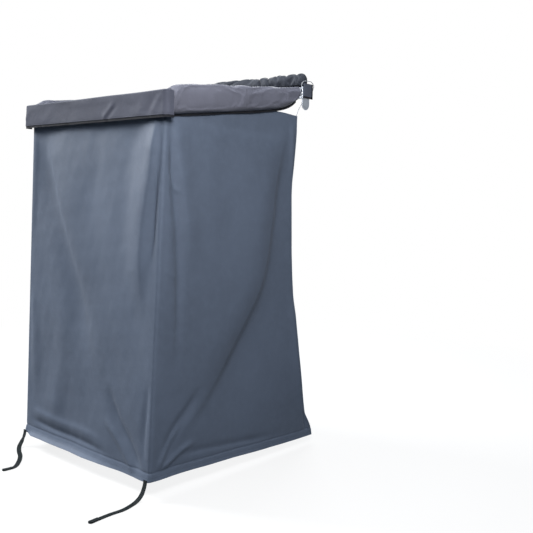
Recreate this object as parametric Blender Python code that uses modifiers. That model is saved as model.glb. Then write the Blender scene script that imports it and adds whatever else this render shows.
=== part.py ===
"""Vehicle shower tent: a folding three-sided privacy cubicle that hangs beside a car from its roof rack.

A T-slot rail bolts to the rack. A knee-jointed arm swings out from each end of the rail, and the two
arms carry an outer bar. Cloth walls hang from the frame inside padded sleeves, and the cloth cover
that wraps the folded frame lies rolled up on the rail.

Metres, +Z up, +X towards the front of the car, -Y away from the car. The origin is the middle of the
rail's back face.
"""

import math

import bmesh
import bpy
from mathutils import Matrix, Vector

# Gap between faces that touch on the real tent, and the looser one between sewn edges.
FIT = 0.0003
SEAM_GAP = 0.002

# T-slot rail.
RAIL_LENGTH = 1.20
RAIL_DEPTH = 0.030
RAIL_HEIGHT = 0.060
SLOT_OPENING = 0.008
SLOT_WIDTH = 0.016
SLOT_LIP = 0.002
SLOT_DEPTH = 0.009
SLOT_PITCH = 0.030
CORE_RADIUS = 0.003
END_PLATE_THICKNESS = 0.004
END_PLATE_WIDTH = 0.066
END_PLATE_DROP = 0.070
END_PLATE_BACK = 0.010

# Folding frame. The arms stand in from the rail's ends. An arm is measured in plan between its two
# pivots and falls by ARM_FALL on the way out.
ARM_INSET = 0.031
FRAME_WIDTH = RAIL_LENGTH - 2 * ARM_INSET
ARM_REACH = 0.462
ARM_FALL = 0.064
ARM_OFFSET = 0.016
BAR_OFFSET = 0.055
ROOT_STANDOFF = 0.032
TUBE_WIDTH = 0.020
TUBE_HEIGHT = 0.030
TUBE_WALL = 0.0015
TUBE_CORNER = 0.003
TUBE_SETBACK = 0.036
BAR_OVERHANG = 0.001
CAP_LENGTH = 0.003

# Cast hinge joints on upright pins.
PIN_RADIUS = 0.004
PIN_HEAD_RADIUS = 0.0065
PIN_HEAD_HEIGHT = 0.003
BARREL_RADIUS = 0.012
TONGUE_HEIGHT = 0.014
SLOT_RADIUS = 0.027
KNUCKLE_CLEARANCE = 0.0004
COLLAR_LENGTH = 0.006
PLUG_LENGTH = 0.025
PLUG_GAP = 0.0006
HINGE_PLATE_WIDTH = 0.050
HINGE_PLATE_THICKNESS = 0.004
KNOB_RADIUS = 0.012
KNOB_HEIGHT = 0.010
KNOB_LOBES = 6
KNOB_LOBE_DEPTH = 0.0012

# Brackets that stand on the rack's bars.
BRACKET_SPACING = 0.80
BRACKET_WIDTH = 0.060
BRACKET_THICKNESS = 0.004
FOOT_LENGTH = 0.095
FOOT_SLOT_LENGTH = 0.048
FOOT_SLOT_WIDTH = 0.0085
BOLT_RADIUS = 0.0037
BOLT_HEAD_WIDTH = 0.0148
BOLT_HEAD_HEIGHT = 0.0075
BOLT_HEAD_DEPTH = 0.004
NUT_RADIUS = 0.0072
NUT_HEIGHT = 0.0055
BOLT_END = 0.003

# Cloth walls. The flares are how far each bottom corner stands out from the corner above it. The side
# walls' own are slight, because the two halves of a wall fold flat against each other. Their hem falls
# by HEM_FALL on its way to the car, where the front wall's loose corner swings out further.
WALL_THICKNESS = 0.003
WALL_TOP_Z = -0.125
WALL_DROP = 0.003
SLACK_START = 0.36
SLACK_LENGTH = 0.17
HEM_Z = -1.995
HEM_FALL = 0.035
EDGE_DIP = 0.008
EDGE_DIP_REACH = 0.08
FLARE_TOP_Z = -0.262
SIDE_FLARE = 0.004
CORNER_GAP = 0.004
CORNER_FLARE = {"front": 0.075, "rear": 0.050}
EDGE_LEAD = 0.010
EDGE_TUCK = 0.050
EDGE_TUCK_DEPTH = 0.07
EDGE_SWING = 0.20
LOOSE_CORNER = {"front": 0.034, "rear": 0.0}
LOOSE_CORNER_HEIGHT = 0.135
HEM_HEIGHT = 0.045
HEM_CURL = 0.010
CORNER_FADE = 0.06

# Padded sleeves round the arms, and the flat valance over the outer bar.
SLEEVE_HALF_WIDTH = 0.043
SLEEVE_SHIFT = 0.0055
SLEEVE_SQUARENESS = 3.0
SLEEVE_THICKNESS = 0.0025
SLEEVE_TOP_CAR = 0.026
SLEEVE_TOP_CORNER = -0.080
SLEEVE_HEIGHT_CAR = 0.130
SLEEVE_HEIGHT_CORNER = 0.165
SLEEVE_PINCH = 0.055
SLEEVE_PINCH_REACH = 0.07
VALANCE_THICKNESS = 0.0025
VALANCE_FRONT = 0.028
VALANCE_BACK = 0.020
VALANCE_END_BACK = -0.004
VALANCE_HEIGHT = 0.130
VALANCE_CORNER = 0.008

# Rolled cover, its end flaps and the elastic ties.
ROLL_RADIUS = 0.037
ROLL_END_ROUND = 0.030
ROLL_LUMP = 0.0014
ROLL_SIDES = 16
FLAP_THICKNESS = 0.0035
FLAP_WIDTH = 0.080
FLAP_TOP_Z = 0.049
FLAP_BOTTOM_Z = -0.034
FLAP_BACK = 0.034
TIE_RADIUS = 0.002

# Peg straps: doubled webbing sewn to the outer bottom corners, lying out along the ground.
STRAP_WIDTH = 0.025
STRAP_THICKNESS = 0.0036
STRAP_TAB = 0.032
STRAP_INSET = 0.003
GROUND_Z = -2.075

SIDES = {"front": 1, "rear": -1}

ARM_X = FRAME_WIDTH / 2
PIVOT_X = ARM_X + ARM_OFFSET
ROOT_Y = -RAIL_DEPTH - ROOT_STANDOFF
OUTER_Y = ROOT_Y - 2 * ARM_REACH - BAR_OFFSET
BAR_Z = -2 * ARM_FALL
ARM_SLOPE = math.atan2(ARM_FALL, ARM_REACH)
ALONG_ARM = Vector((0, -math.cos(ARM_SLOPE), -math.sin(ARM_SLOPE)))
BAR_END_X = PIVOT_X + BARREL_RADIUS + BAR_OVERHANG
SLEEVE_X = ARM_X - SLEEVE_SHIFT
SLEEVE_START_Y = ROOT_Y - BARREL_RADIUS - SEAM_GAP
SLEEVE_END_Y = OUTER_Y + VALANCE_BACK + SEAM_GAP

BLUE_GREY_CLOTH = (0.115, 0.135, 0.175)
DARK_CLOTH = (0.055, 0.060, 0.075)
BLACK_WEBBING = (0.010, 0.012, 0.015)
PALE_CORD = (0.55, 0.57, 0.62)
ANODISED = (0.60, 0.64, 0.70)
CAST_GREY = (0.42, 0.44, 0.48)
ZINC = (0.55, 0.55, 0.56)
BLACK_PLASTIC = (0.020, 0.020, 0.022)

# Lays an outline drawn on XY into the YZ plane, with its thickness along X.
YZ_TO_X = Matrix(((0, 0, 1), (1, 0, 0), (0, 1, 0)))

MODEL = "vehicle_shower_tent"
CUTTERS = "cutters"


def clear_scene():
    """Remove what the scene holds and make the two collections."""
    for old in list(bpy.data.objects):
        bpy.data.objects.remove(old, do_unlink=True)
    for name in (MODEL, CUTTERS):
        collection = bpy.data.collections.new(name)
        bpy.context.scene.collection.children.link(collection)


def material(name, colour, roughness, metallic=0.0):
    """A Principled material of one colour."""
    made = bpy.data.materials.new(name)
    made.use_nodes = True
    shader = made.node_tree.nodes["Principled BSDF"]
    shader.inputs["Base Color"].default_value = (*colour, 1)
    shader.inputs["Roughness"].default_value = roughness
    shader.inputs["Metallic"].default_value = metallic
    return made


def finish(obj, colour, roughness, metallic=0.0, smooth=True):
    """Give a sub-part its own material and its shading."""
    obj.data.materials.clear()
    obj.data.materials.append(material(obj.name + "_finish", colour, roughness, metallic))
    if smooth and obj.type == "MESH":
        obj.data.shade_smooth()
        obj.data.set_sharp_from_angle(angle=math.radians(35))
    return obj


def add_object(name, data, collection=MODEL):
    """Link a new object that shows data."""
    obj = bpy.data.objects.new(name, data)
    bpy.data.collections[collection].objects.link(obj)
    return obj


def from_bmesh(name, bm, collection=MODEL):
    """Turn a bmesh into a linked object."""
    mesh = bpy.data.meshes.new(name)
    bmesh.ops.recalc_face_normals(bm, faces=bm.faces)
    bm.to_mesh(mesh)
    bm.free()
    return add_object(name, mesh, collection)


def box(name, centre, size, collection=MODEL):
    """A box by its centre and its three sizes."""
    bm = bmesh.new()
    bmesh.ops.create_cube(bm, size=1, matrix=Matrix.Diagonal((*size, 1)))
    obj = from_bmesh(name, bm, collection)
    obj.location = centre
    return obj


def cylinder(name, centre, radius, height, segments=32, collection=MODEL):
    """An upright cylinder round its centre."""
    bm = bmesh.new()
    bmesh.ops.create_cone(
        bm, cap_ends=True, segments=segments, radius1=radius, radius2=radius, depth=height
    )
    obj = from_bmesh(name, bm, collection)
    obj.location = centre
    return obj


def combine(obj, other, operation):
    """Join other to obj, or cut it away, and hide it with the cutters."""
    for collection in list(other.users_collection):
        collection.objects.unlink(other)
    bpy.data.collections[CUTTERS].objects.link(other)
    other.hide_render = True
    other.display_type = "WIRE"
    boolean = obj.modifiers.new(operation.lower(), "BOOLEAN")
    boolean.operation = operation
    boolean.solver = "EXACT"
    boolean.object = other
    return obj


def bevel(obj, width, segments=2, angle=40):
    """Round the sharp edges."""
    rounding = obj.modifiers.new("rounding", "BEVEL")
    rounding.width = width
    rounding.segments = segments
    rounding.limit_method = "ANGLE"
    rounding.angle_limit = math.radians(angle)
    return obj


def solidify(obj, thickness, offset):
    """Give an open surface its thickness."""
    shell = obj.modifiers.new("thickness", "SOLIDIFY")
    shell.thickness = thickness
    shell.offset = offset
    shell.use_even_offset = True
    return obj


def outline(name, loops, thickness, collection=MODEL):
    """A flat outline with holes, drawn on XY and extruded by its thickness, as a closed mesh."""
    curve = bpy.data.curves.new(name, "CURVE")
    curve.dimensions = "2D"
    curve.fill_mode = "BOTH"
    curve.extrude = thickness / 2
    for loop in loops:
        spline = curve.splines.new("POLY")
        spline.points.add(len(loop) - 1)
        for point, (x, y) in zip(spline.points, loop):
            point.co = (x, y, 0, 1)
        spline.use_cyclic_u = True
    drawn = add_object(name + "_outline", curve, collection)
    mesh = bpy.data.meshes.new_from_object(drawn.evaluated_get(bpy.context.evaluated_depsgraph_get()))
    bpy.data.objects.remove(drawn)
    bm = bmesh.new()
    bm.from_mesh(mesh)
    bmesh.ops.remove_doubles(bm, verts=bm.verts, dist=1e-6)
    bpy.data.meshes.remove(mesh)
    return from_bmesh(name, bm, collection)


def rounded_rectangle(width, height, radius, steps=4):
    """Points round a rectangle with round corners."""
    points = []
    for corner, (sx, sy) in enumerate(((1, 1), (-1, 1), (-1, -1), (1, -1))):
        centre = Vector((sx * (width / 2 - radius), sy * (height / 2 - radius)))
        for step in range(steps + 1):
            angle = math.pi / 2 * (corner + step / steps)
            points.append(centre + radius * Vector((math.cos(angle), math.sin(angle))))
    return points


def circle(radius, steps, centre=(0, 0)):
    """Points round a circle."""
    turn = 2 * math.pi / steps
    return [
        (centre[0] + radius * math.cos(turn * step), centre[1] + radius * math.sin(turn * step))
        for step in range(steps)
    ]


def turned(name, profile, segments=24):
    """A turned piece from its outer profile, listed from top to bottom as (radius, z)."""
    bm = bmesh.new()
    points = [bm.verts.new((radius, 0, z)) for radius, z in profile]
    for upper, lower in zip(points, points[1:]):
        bm.edges.new((upper, lower))
    mesh = bpy.data.meshes.new(name)
    bm.to_mesh(mesh)
    bm.free()
    obj = add_object(name, mesh)
    screw = obj.modifiers.new("turning", "SCREW")
    screw.steps = segments
    screw.render_steps = segments
    screw.use_merge_vertices = True
    screw.merge_threshold = 1e-5
    screw.use_smooth_shade = False
    return obj


def smooth_step(value):
    """Ease from 0 to 1."""
    value = min(max(value, 0), 1)
    return value * value * (3 - 2 * value)


def mix(first, second, share):
    """The value that share of the way between two others."""
    return first + (second - first) * share


def pivot(side, step):
    """An arm's pivots on one side: 0 at the rail, 1 at the knee and 2 at the outer corner."""
    return Vector((side * PIVOT_X, ROOT_Y - step * ARM_REACH, -step * ARM_FALL))


def arm_line(side, step, plan_distance):
    """The point on the arms' centre line at a plan distance outward from a pivot."""
    offset = Vector((side * ARM_OFFSET, 0, 0))
    return pivot(side, step) - offset + ALONG_ARM * (plan_distance / math.cos(ARM_SLOPE))


def tube(name, start, end):
    """A hollow drawn tube between two points, its tall side upright."""
    run = end - start
    outer = rounded_rectangle(TUBE_WIDTH, TUBE_HEIGHT, TUBE_CORNER)
    bore = TUBE_CORNER - TUBE_WALL
    inner = rounded_rectangle(TUBE_WIDTH - 2 * TUBE_WALL, TUBE_HEIGHT - 2 * TUBE_WALL, bore)
    obj = outline(name, (outer, inner), run.length)
    obj.location = (start + end) / 2
    obj.rotation_euler = aim(run).to_euler()
    return finish(obj, ANODISED, 0.38, 0.9)


def aim(run):
    """The turn that lays local Z along a run and keeps local Y as upright as it can be."""
    along = run.normalized()
    across = Vector((0, 0, 1)).cross(along).normalized()
    up = along.cross(across)
    return Matrix((across, up, along)).transposed()


def collar_matrix(side, step, inward):
    """Where a casting's collar meets its tube, and the way into that tube."""
    way = 1 if inward else -1
    face = arm_line(side, step, way * TUBE_SETBACK)
    return face, ALONG_ARM * way


def hull(name, groups):
    """The convex skin round some groups of points."""
    bm = bmesh.new()
    for points in groups:
        for point in points:
            bm.verts.new(point)
    made = bmesh.ops.convex_hull(bm, input=bm.verts)
    inside = [item for item in made["geom_interior"] if isinstance(item, bmesh.types.BMVert)]
    bmesh.ops.delete(bm, geom=inside, context="VERTS")
    return from_bmesh(name, bm)


def barrel_points(centre, height, radius=BARREL_RADIUS, steps=20):
    """The two rims of an upright barrel."""
    return [
        (x, y, centre.z + level * height / 2)
        for level in (-1, 1)
        for x, y in circle(radius, steps, centre)
    ]


def block_points(centre, turn, size):
    """The eight corners of a turned block."""
    corners = []
    for sx in (-1, 1):
        for sy in (-1, 1):
            for sz in (-1, 1):
                corner = Vector((sx * size[0], sy * size[1], sz * size[2])) / 2
                corners.append(centre + turn @ corner)
    return corners


def cut_slot(obj, centre, radius):
    """Open a casting's middle for the tongue of its partner."""
    height = TONGUE_HEIGHT + 2 * KNUCKLE_CLEARANCE
    slot = cylinder(obj.name + "_slot", centre, radius, height, 32, CUTTERS)
    return combine(obj, slot, "DIFFERENCE")


def face_off(obj, centre, radius, height):
    """Leave a casting only its given height round its pin."""
    for level, label in ((1, "top"), (-1, "bottom")):
        depth = TUBE_HEIGHT
        lift = Vector((0, 0, level * (height + depth) / 2))
        disc = cylinder(f"{obj.name}_{label}_facing", centre + lift, radius, depth, 32, CUTTERS)
        combine(obj, disc, "DIFFERENCE")
    return obj


def drill(obj, centre, height):
    """Bore a casting's pin hole."""
    bit = cylinder(obj.name + "_bore", centre, PIN_RADIUS + FIT, height, 16, CUTTERS)
    return combine(obj, bit, "DIFFERENCE")


def arm_casting(name, side, step, outward, forked):
    """A casting on an arm's pin whose plug fills the end of its tube.

    outward says that the tube runs away from the car from here. A forked casting straddles the
    tongue of its partner.
    """
    centre = pivot(side, step)
    face, way = collar_matrix(side, step, outward)
    turn = aim(way)
    collar = face - way * (FIT + COLLAR_LENGTH / 2)
    collar_size = (TUBE_WIDTH, TUBE_HEIGHT, COLLAR_LENGTH)
    barrel_height = TUBE_HEIGHT if forked else TONGUE_HEIGHT
    skin = (barrel_points(centre, barrel_height), block_points(collar, turn, collar_size))
    obj = hull(name, skin)
    room = 2 * (TUBE_WALL + PLUG_GAP)
    plug_length = PLUG_LENGTH + COLLAR_LENGTH
    plug = box(
        name + "_plug",
        face + way * (PLUG_LENGTH / 2 - FIT - COLLAR_LENGTH / 2),
        (TUBE_WIDTH - room, TUBE_HEIGHT - room, plug_length),
        CUTTERS,
    )
    plug.rotation_euler = turn.to_euler()
    combine(obj, plug, "UNION")
    if forked:
        cut_slot(obj, centre, SLOT_RADIUS)
        face_off(obj, centre, KNOB_RADIUS + SEAM_GAP, TUBE_HEIGHT)
    else:
        face_off(obj, centre, SLOT_RADIUS + 2 * KNUCKLE_CLEARANCE, TONGUE_HEIGHT)
    drill(obj, centre, 2 * TUBE_HEIGHT)
    return finish(obj, CAST_GREY, 0.5, 0.8)


def foot_fork(name, side, centre, plate_y, way):
    """A forked casting on a flat plate that faces a rail or bar. way is +1 where the plate is on +Y."""
    plate = Vector((centre.x, plate_y - way * (FIT + HINGE_PLATE_THICKNESS / 2), centre.z))
    boss = (2 * BARREL_RADIUS, HINGE_PLATE_THICKNESS, TUBE_HEIGHT)
    skin = (barrel_points(centre, TUBE_HEIGHT), block_points(plate, Matrix.Identity(3), boss))
    obj = hull(name, skin)
    foot_size = (HINGE_PLATE_WIDTH, HINGE_PLATE_THICKNESS, TUBE_HEIGHT)
    inboard = Vector((side * (HINGE_PLATE_WIDTH / 2 - BARREL_RADIUS), 0, 0))
    foot = box(name + "_foot", plate - inboard, foot_size, CUTTERS)
    combine(obj, foot, "UNION")
    reach = min(abs(plate_y - centre.y) - HINGE_PLATE_THICKNESS - FIT, SLOT_RADIUS)
    cut_slot(obj, centre, reach - KNUCKLE_CLEARANCE)
    drill(obj, centre, 2 * TUBE_HEIGHT)
    return finish(obj, CAST_GREY, 0.5, 0.8)


def hinge_pin(name, centre, stud=0.0):
    """A headed pin through a fork, upset at its foot. A stud carries it on below the fork instead."""
    half = TUBE_HEIGHT / 2 + FIT
    shank = PIN_RADIUS
    top = [(0, half + PIN_HEAD_HEIGHT), (PIN_HEAD_RADIUS, half + PIN_HEAD_HEIGHT)]
    top += [(PIN_HEAD_RADIUS, half), (shank, half)]
    if stud:
        foot = [(shank, -half - stud), (0, -half - stud)]
    else:
        foot = [(shank, -half), (PIN_HEAD_RADIUS, -half)]
        foot += [(PIN_HEAD_RADIUS, -half - PIN_HEAD_HEIGHT), (0, -half - PIN_HEAD_HEIGHT)]
    obj = turned(name, top + foot, 16)
    obj.location = centre
    return finish(obj, ZINC, 0.35, 1.0, smooth=False)


def knee_knob(name, centre):
    """The lobed knob that clamps a knee, under its fork on the stud of its pin."""
    lobes = []
    for step in range(KNOB_LOBES * 6):
        angle = 2 * math.pi * step / (KNOB_LOBES * 6)
        radius = KNOB_RADIUS - KNOB_LOBE_DEPTH * (1 - math.cos(KNOB_LOBES * angle)) / 2
        lobes.append((radius * math.cos(angle), radius * math.sin(angle)))
    obj = outline(name, (lobes,), KNOB_HEIGHT)
    obj.location = centre - Vector((0, 0, TUBE_HEIGHT / 2 + FIT + KNOB_HEIGHT / 2))
    blind = KNOB_HEIGHT * 0.75
    bit = cylinder(
        name + "_bore",
        centre - Vector((0, 0, TUBE_HEIGHT / 2 + blind / 2)),
        PIN_RADIUS + FIT,
        blind,
        16,
        CUTTERS,
    )
    combine(obj, bit, "DIFFERENCE")
    return finish(obj, BLACK_PLASTIC, 0.55)


def slot_points(depth_face):
    """A T-slot's outline, seen with its opening up and its middle at 0, as (across, inward)."""
    half_opening = SLOT_OPENING / 2
    half_width = SLOT_WIDTH / 2
    floor = half_opening
    return [
        (-half_opening, depth_face),
        (-half_opening, depth_face + SLOT_LIP),
        (-half_width, depth_face + SLOT_LIP),
        (-half_width, depth_face + SLOT_DEPTH - half_width + floor),
        (-floor, depth_face + SLOT_DEPTH),
        (floor, depth_face + SLOT_DEPTH),
        (half_width, depth_face + SLOT_DEPTH - half_width + floor),
        (half_width, depth_face + SLOT_LIP),
        (half_opening, depth_face + SLOT_LIP),
        (half_opening, depth_face),
    ]


def rail_outline():
    """The rail's section on (depth, height), its middle at 0: two slots front and back, one on each edge."""
    half_depth = RAIL_DEPTH / 2
    half_height = RAIL_HEIGHT / 2
    points = []
    for quarter in range(4):
        points.append(((-1, 1, 1, -1)[quarter] * half_depth, (-1, -1, 1, 1)[quarter] * half_height))
        middles = (0,) if quarter in (0, 2) else (-SLOT_PITCH / 2, SLOT_PITCH / 2)
        reach = half_height if quarter in (0, 2) else half_depth
        for middle in middles:
            for across, inward in slot_points(0):
                along = middle + across
                level = reach - inward
                points.append(
                    (
                        (along, -level),
                        (level, along),
                        (-along, level),
                        (-level, -along),
                    )[quarter]
                )
    return points


def make_rail():
    """The extruded rail, laid along X with its back face on the origin."""
    cores = [circle(CORE_RADIUS, 16, (0, 0))]
    obj = outline("base_rail", [rail_outline()] + cores, RAIL_LENGTH)
    obj.rotation_euler = YZ_TO_X.to_euler()
    obj.location = (0, -RAIL_DEPTH / 2, 0)
    return finish(obj, ANODISED, 0.35, 0.9)


def make_end_plate(name, side):
    """The round-bottomed aluminium plate that closes the rail's end."""
    centre = -END_PLATE_WIDTH / 2 + END_PLATE_BACK
    radius = END_PLATE_WIDTH / 2
    straight = END_PLATE_DROP - radius
    points = [(centre + radius, RAIL_HEIGHT / 2), (centre - radius, RAIL_HEIGHT / 2)]
    steps = 12
    for step in range(steps + 1):
        angle = math.pi + math.pi * step / steps
        low = -RAIL_HEIGHT / 2 - straight
        points.append((centre + radius * math.cos(angle), low + radius * math.sin(angle)))
    obj = outline(name, (points,), END_PLATE_THICKNESS)
    obj.rotation_euler = YZ_TO_X.to_euler()
    obj.location = (side * (RAIL_LENGTH / 2 + FIT + END_PLATE_THICKNESS / 2), 0, 0)
    bevel(obj, END_PLATE_THICKNESS / 5, 1)
    return finish(obj, ANODISED, 0.3, 0.9)


def make_bracket(name, side):
    """An L bracket: its upright leg lies on the rail's back, its slotted foot on the rack's bar."""
    x = side * BRACKET_SPACING / 2
    back = FIT
    base = -RAIL_HEIGHT / 2
    inner_y = back + BRACKET_THICKNESS
    inner_z = base + BRACKET_THICKNESS
    fillet = BRACKET_THICKNESS
    section = [(back, base), (back + FOOT_LENGTH, base), (back + FOOT_LENGTH, inner_z)]
    for step in range(5):
        angle = -math.pi / 2 - math.pi / 2 * step / 4
        section.append(
            (inner_y + fillet + fillet * math.cos(angle), inner_z + fillet + fillet * math.sin(angle))
        )
    section += [(inner_y, RAIL_HEIGHT / 2), (back, RAIL_HEIGHT / 2)]
    obj = outline(name, (section,), BRACKET_WIDTH)
    obj.rotation_euler = YZ_TO_X.to_euler()
    obj.location = (x, 0, 0)
    foot_z = base + BRACKET_THICKNESS / 2
    slot_y = FIT + FOOT_LENGTH - FOOT_SLOT_LENGTH / 2 - BRACKET_THICKNESS * 3
    slot = rounded_rectangle(FOOT_SLOT_WIDTH, FOOT_SLOT_LENGTH, FOOT_SLOT_WIDTH / 2 * 0.999)
    for shift in (-1, 1):
        cutter = outline(f"{name}_slot_{shift + 2}", (slot,), BRACKET_THICKNESS * 3, CUTTERS)
        cutter.location = (x + shift * BRACKET_WIDTH / 4, slot_y, foot_z)
        combine(obj, cutter, "DIFFERENCE")
    for shift in (-1, 1):
        hole = cylinder(
            f"{name}_hole_{shift + 2}",
            (x, FIT + BRACKET_THICKNESS / 2, shift * SLOT_PITCH / 2),
            BOLT_RADIUS + FIT,
            BRACKET_THICKNESS * 3,
            16,
            CUTTERS,
        )
        hole.rotation_euler = (math.pi / 2, 0, 0)
        combine(obj, hole, "DIFFERENCE")
    return finish(obj, ZINC, 0.4, 1.0)


def make_bracket_bolt(name, side, level):
    """A T-bolt with its nut: the head sits in the rail's back slot, the nut on the bracket."""
    x = side * BRACKET_SPACING / 2
    z = level * SLOT_PITCH / 2
    head_y = -SLOT_LIP - FIT - BOLT_HEAD_DEPTH / 2
    head_size = (BOLT_HEAD_WIDTH, BOLT_HEAD_DEPTH, BOLT_HEAD_HEIGHT)
    obj = box(name, (x, head_y, z), head_size)
    nut_y = 2 * FIT + BRACKET_THICKNESS + NUT_HEIGHT / 2
    shank_end = nut_y + NUT_HEIGHT / 2 + BOLT_END
    shank_start = head_y
    shank = cylinder(
        name + "_shank",
        (x, (shank_start + shank_end) / 2, z),
        BOLT_RADIUS,
        shank_end - shank_start,
        14,
        CUTTERS,
    )
    nut = cylinder(name + "_nut", (x, nut_y, z), NUT_RADIUS, NUT_HEIGHT, 6, CUTTERS)
    for piece in (shank, nut):
        piece.rotation_euler = (math.pi / 2, 0, 0)
        combine(obj, piece, "UNION")
    return finish(obj, ZINC, 0.35, 1.0, smooth=False)


def make_arm(side_name, side):
    """One knee-jointed arm: two tubes with their castings, pins and knob."""
    tube(
        f"{side_name}_inner_arm",
        arm_line(side, 0, TUBE_SETBACK),
        arm_line(side, 1, -TUBE_SETBACK),
    )
    tube(
        f"{side_name}_outer_arm",
        arm_line(side, 1, TUBE_SETBACK),
        arm_line(side, 2, -TUBE_SETBACK),
    )
    foot_fork(f"{side_name}_root_fork", side, pivot(side, 0), -RAIL_DEPTH, 1)
    arm_casting(f"{side_name}_root_tongue", side, 0, outward=True, forked=False)
    arm_casting(f"{side_name}_knee_fork", side, 1, outward=False, forked=True)
    arm_casting(f"{side_name}_knee_tongue", side, 1, outward=True, forked=False)
    arm_casting(f"{side_name}_corner_tongue", side, 2, outward=False, forked=False)
    foot_fork(f"{side_name}_corner_fork", side, pivot(side, 2), OUTER_Y + TUBE_WIDTH / 2, -1)
    hinge_pin(f"{side_name}_root_pin", pivot(side, 0))
    hinge_pin(f"{side_name}_knee_pin", pivot(side, 1), stud=KNOB_HEIGHT * 0.6)
    hinge_pin(f"{side_name}_corner_pin", pivot(side, 2))
    knee_knob(f"{side_name}_knee_knob", pivot(side, 1))


def make_outer_bar():
    """The bar that joins the two arms, with a plug cap in each end."""
    tube("outer_bar", Vector((-BAR_END_X, OUTER_Y, BAR_Z)), Vector((BAR_END_X, OUTER_Y, BAR_Z)))
    for side_name, side in SIDES.items():
        x = side * (BAR_END_X + FIT + CAP_LENGTH / 2)
        obj = box(f"{side_name}_bar_cap", (x, OUTER_Y, BAR_Z), (CAP_LENGTH, TUBE_WIDTH, TUBE_HEIGHT))
        room = 2 * (TUBE_WALL + PLUG_GAP)
        plug_size = (PLUG_LENGTH / 2, TUBE_WIDTH - room, TUBE_HEIGHT - room)
        plug_x = x - side * PLUG_LENGTH / 4
        plug = box(f"{side_name}_bar_cap_plug", (plug_x, OUTER_Y, BAR_Z), plug_size, CUTTERS)
        combine(obj, plug, "UNION")
        finish(obj, BLACK_PLASTIC, 0.6)


# Main folds, each from one end to the other on the wall, with its height outward and its half width.
# Side walls give (y, z), the outer wall (x, z).
FRONT_FOLDS = (
    ((-0.985, -0.27), (-0.89, -0.72), 0.005, 0.035),
    ((-0.100, -0.22), (-0.33, -1.12), -0.009, 0.050),
    ((-0.170, -0.30), (-0.46, -1.60), 0.008, 0.055),
    ((-1.000, -1.90), (-0.86, -1.62), -0.006, 0.035),
)
REAR_FOLDS = (
    ((-0.960, -0.27), (-0.84, -0.90), 0.005, 0.040),
    ((-0.120, -0.24), (-0.36, -1.20), -0.009, 0.050),
    ((-0.640, -1.30), (-0.70, -1.98), 0.005, 0.050),
)
OUTER_FOLDS = (
    ((-0.530, -0.25), (0.075, -1.38), 0.010, 0.055),
    ((0.050, -1.30), (0.260, -1.99), 0.009, 0.060),
    ((0.545, -0.27), (0.450, -0.80), 0.009, 0.035),
    ((0.500, -0.40), (0.400, -1.00), -0.008, 0.045),
    ((0.400, -1.99), (0.200, -1.70), -0.009, 0.040),
    ((-0.400, -1.99), (-0.300, -1.20), 0.006, 0.055),
)


def fold_height(folds, across, z):
    """How far the main folds push the cloth out at a place on a wall."""
    total = 0.0
    for start, end, height, width in folds:
        line = Vector(end) - Vector(start)
        away = Vector((across, z)) - Vector(start)
        share = away.dot(line) / line.length_squared
        distance = abs(away.x * line.y - away.y * line.x) / line.length
        ends = smooth_step(share * 5) * smooth_step((1 - share) * 2.5)
        total += height * ends * math.exp(-((distance / width) ** 2))
    return total


def flare_share(z):
    """0 above the flare and 1 at the hem."""
    return min(max((FLARE_TOP_Z - z) / (FLARE_TOP_Z - HEM_Z), 0.0), 1.0)


def hem_curl(z):
    """The outward curl of the outer wall's bottom hem."""
    return HEM_CURL * min(max((HEM_Z + HEM_HEIGHT - z) / HEM_HEIGHT, 0.0), 1.0)


def wall_level(top, down, foot=HEM_Z):
    """Heights down a wall: down runs from 0 at the top to 1 at the hem's upper edge and 2 at its foot."""
    hem_top = foot + HEM_HEIGHT
    return mix(top, hem_top, down) if down <= 1 else mix(hem_top, foot, down - 1)


def side_hem_z(y):
    """The foot of a side wall's hem, level by the corner and lower towards the car."""
    return HEM_Z - HEM_FALL * smooth_step((y - OUTER_Y) / (ROOT_Y - OUTER_Y))


def outer_wall_edge(side, z):
    """How far out in X the outer wall's edge stands at a height."""
    return side * (ARM_X + WALL_THICKNESS / 2 + SIDE_FLARE * flare_share(z))


def outer_wall_y(x, z):
    """The outer wall's middle surface."""
    share = (x / ARM_X + 1) / 2
    flare = mix(CORNER_FLARE["rear"], CORNER_FLARE["front"], share) * flare_share(z)
    fade = smooth_step((abs(outer_wall_edge(math.copysign(1, x), z)) - abs(x)) / CORNER_FADE)
    return OUTER_Y - flare - hem_curl(z) - fade * fold_height(OUTER_FOLDS, x, z)


def side_wall_x(side, y, z):
    """A side wall's middle surface."""
    folds = FRONT_FOLDS if side > 0 else REAR_FOLDS
    fade = smooth_step((y - OUTER_Y) / CORNER_FADE)
    return side * (ARM_X + SIDE_FLARE * flare_share(z) + fade * fold_height(folds, y, z))


def side_wall_top(y):
    """A side wall's top edge: hung from the arm, a little lower by its castings, and slack by the car."""
    out = ROOT_Y - y
    under_arm = out / ARM_REACH * -ARM_FALL - TUBE_HEIGHT / 2 / math.cos(ARM_SLOPE) - FIT
    to_casting = min(abs(out - ARM_REACH), abs(out - 2 * ARM_REACH))
    by_casting = min(max(2 - to_casting / TUBE_SETBACK, 0.0), 1.0)
    dip = EDGE_DIP * math.exp(-((out / EDGE_DIP_REACH) ** 2))
    slack = smooth_step((SLACK_START - out) / SLACK_LENGTH)
    return mix(under_arm - WALL_DROP * by_casting, WALL_TOP_Z - dip, slack)


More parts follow.
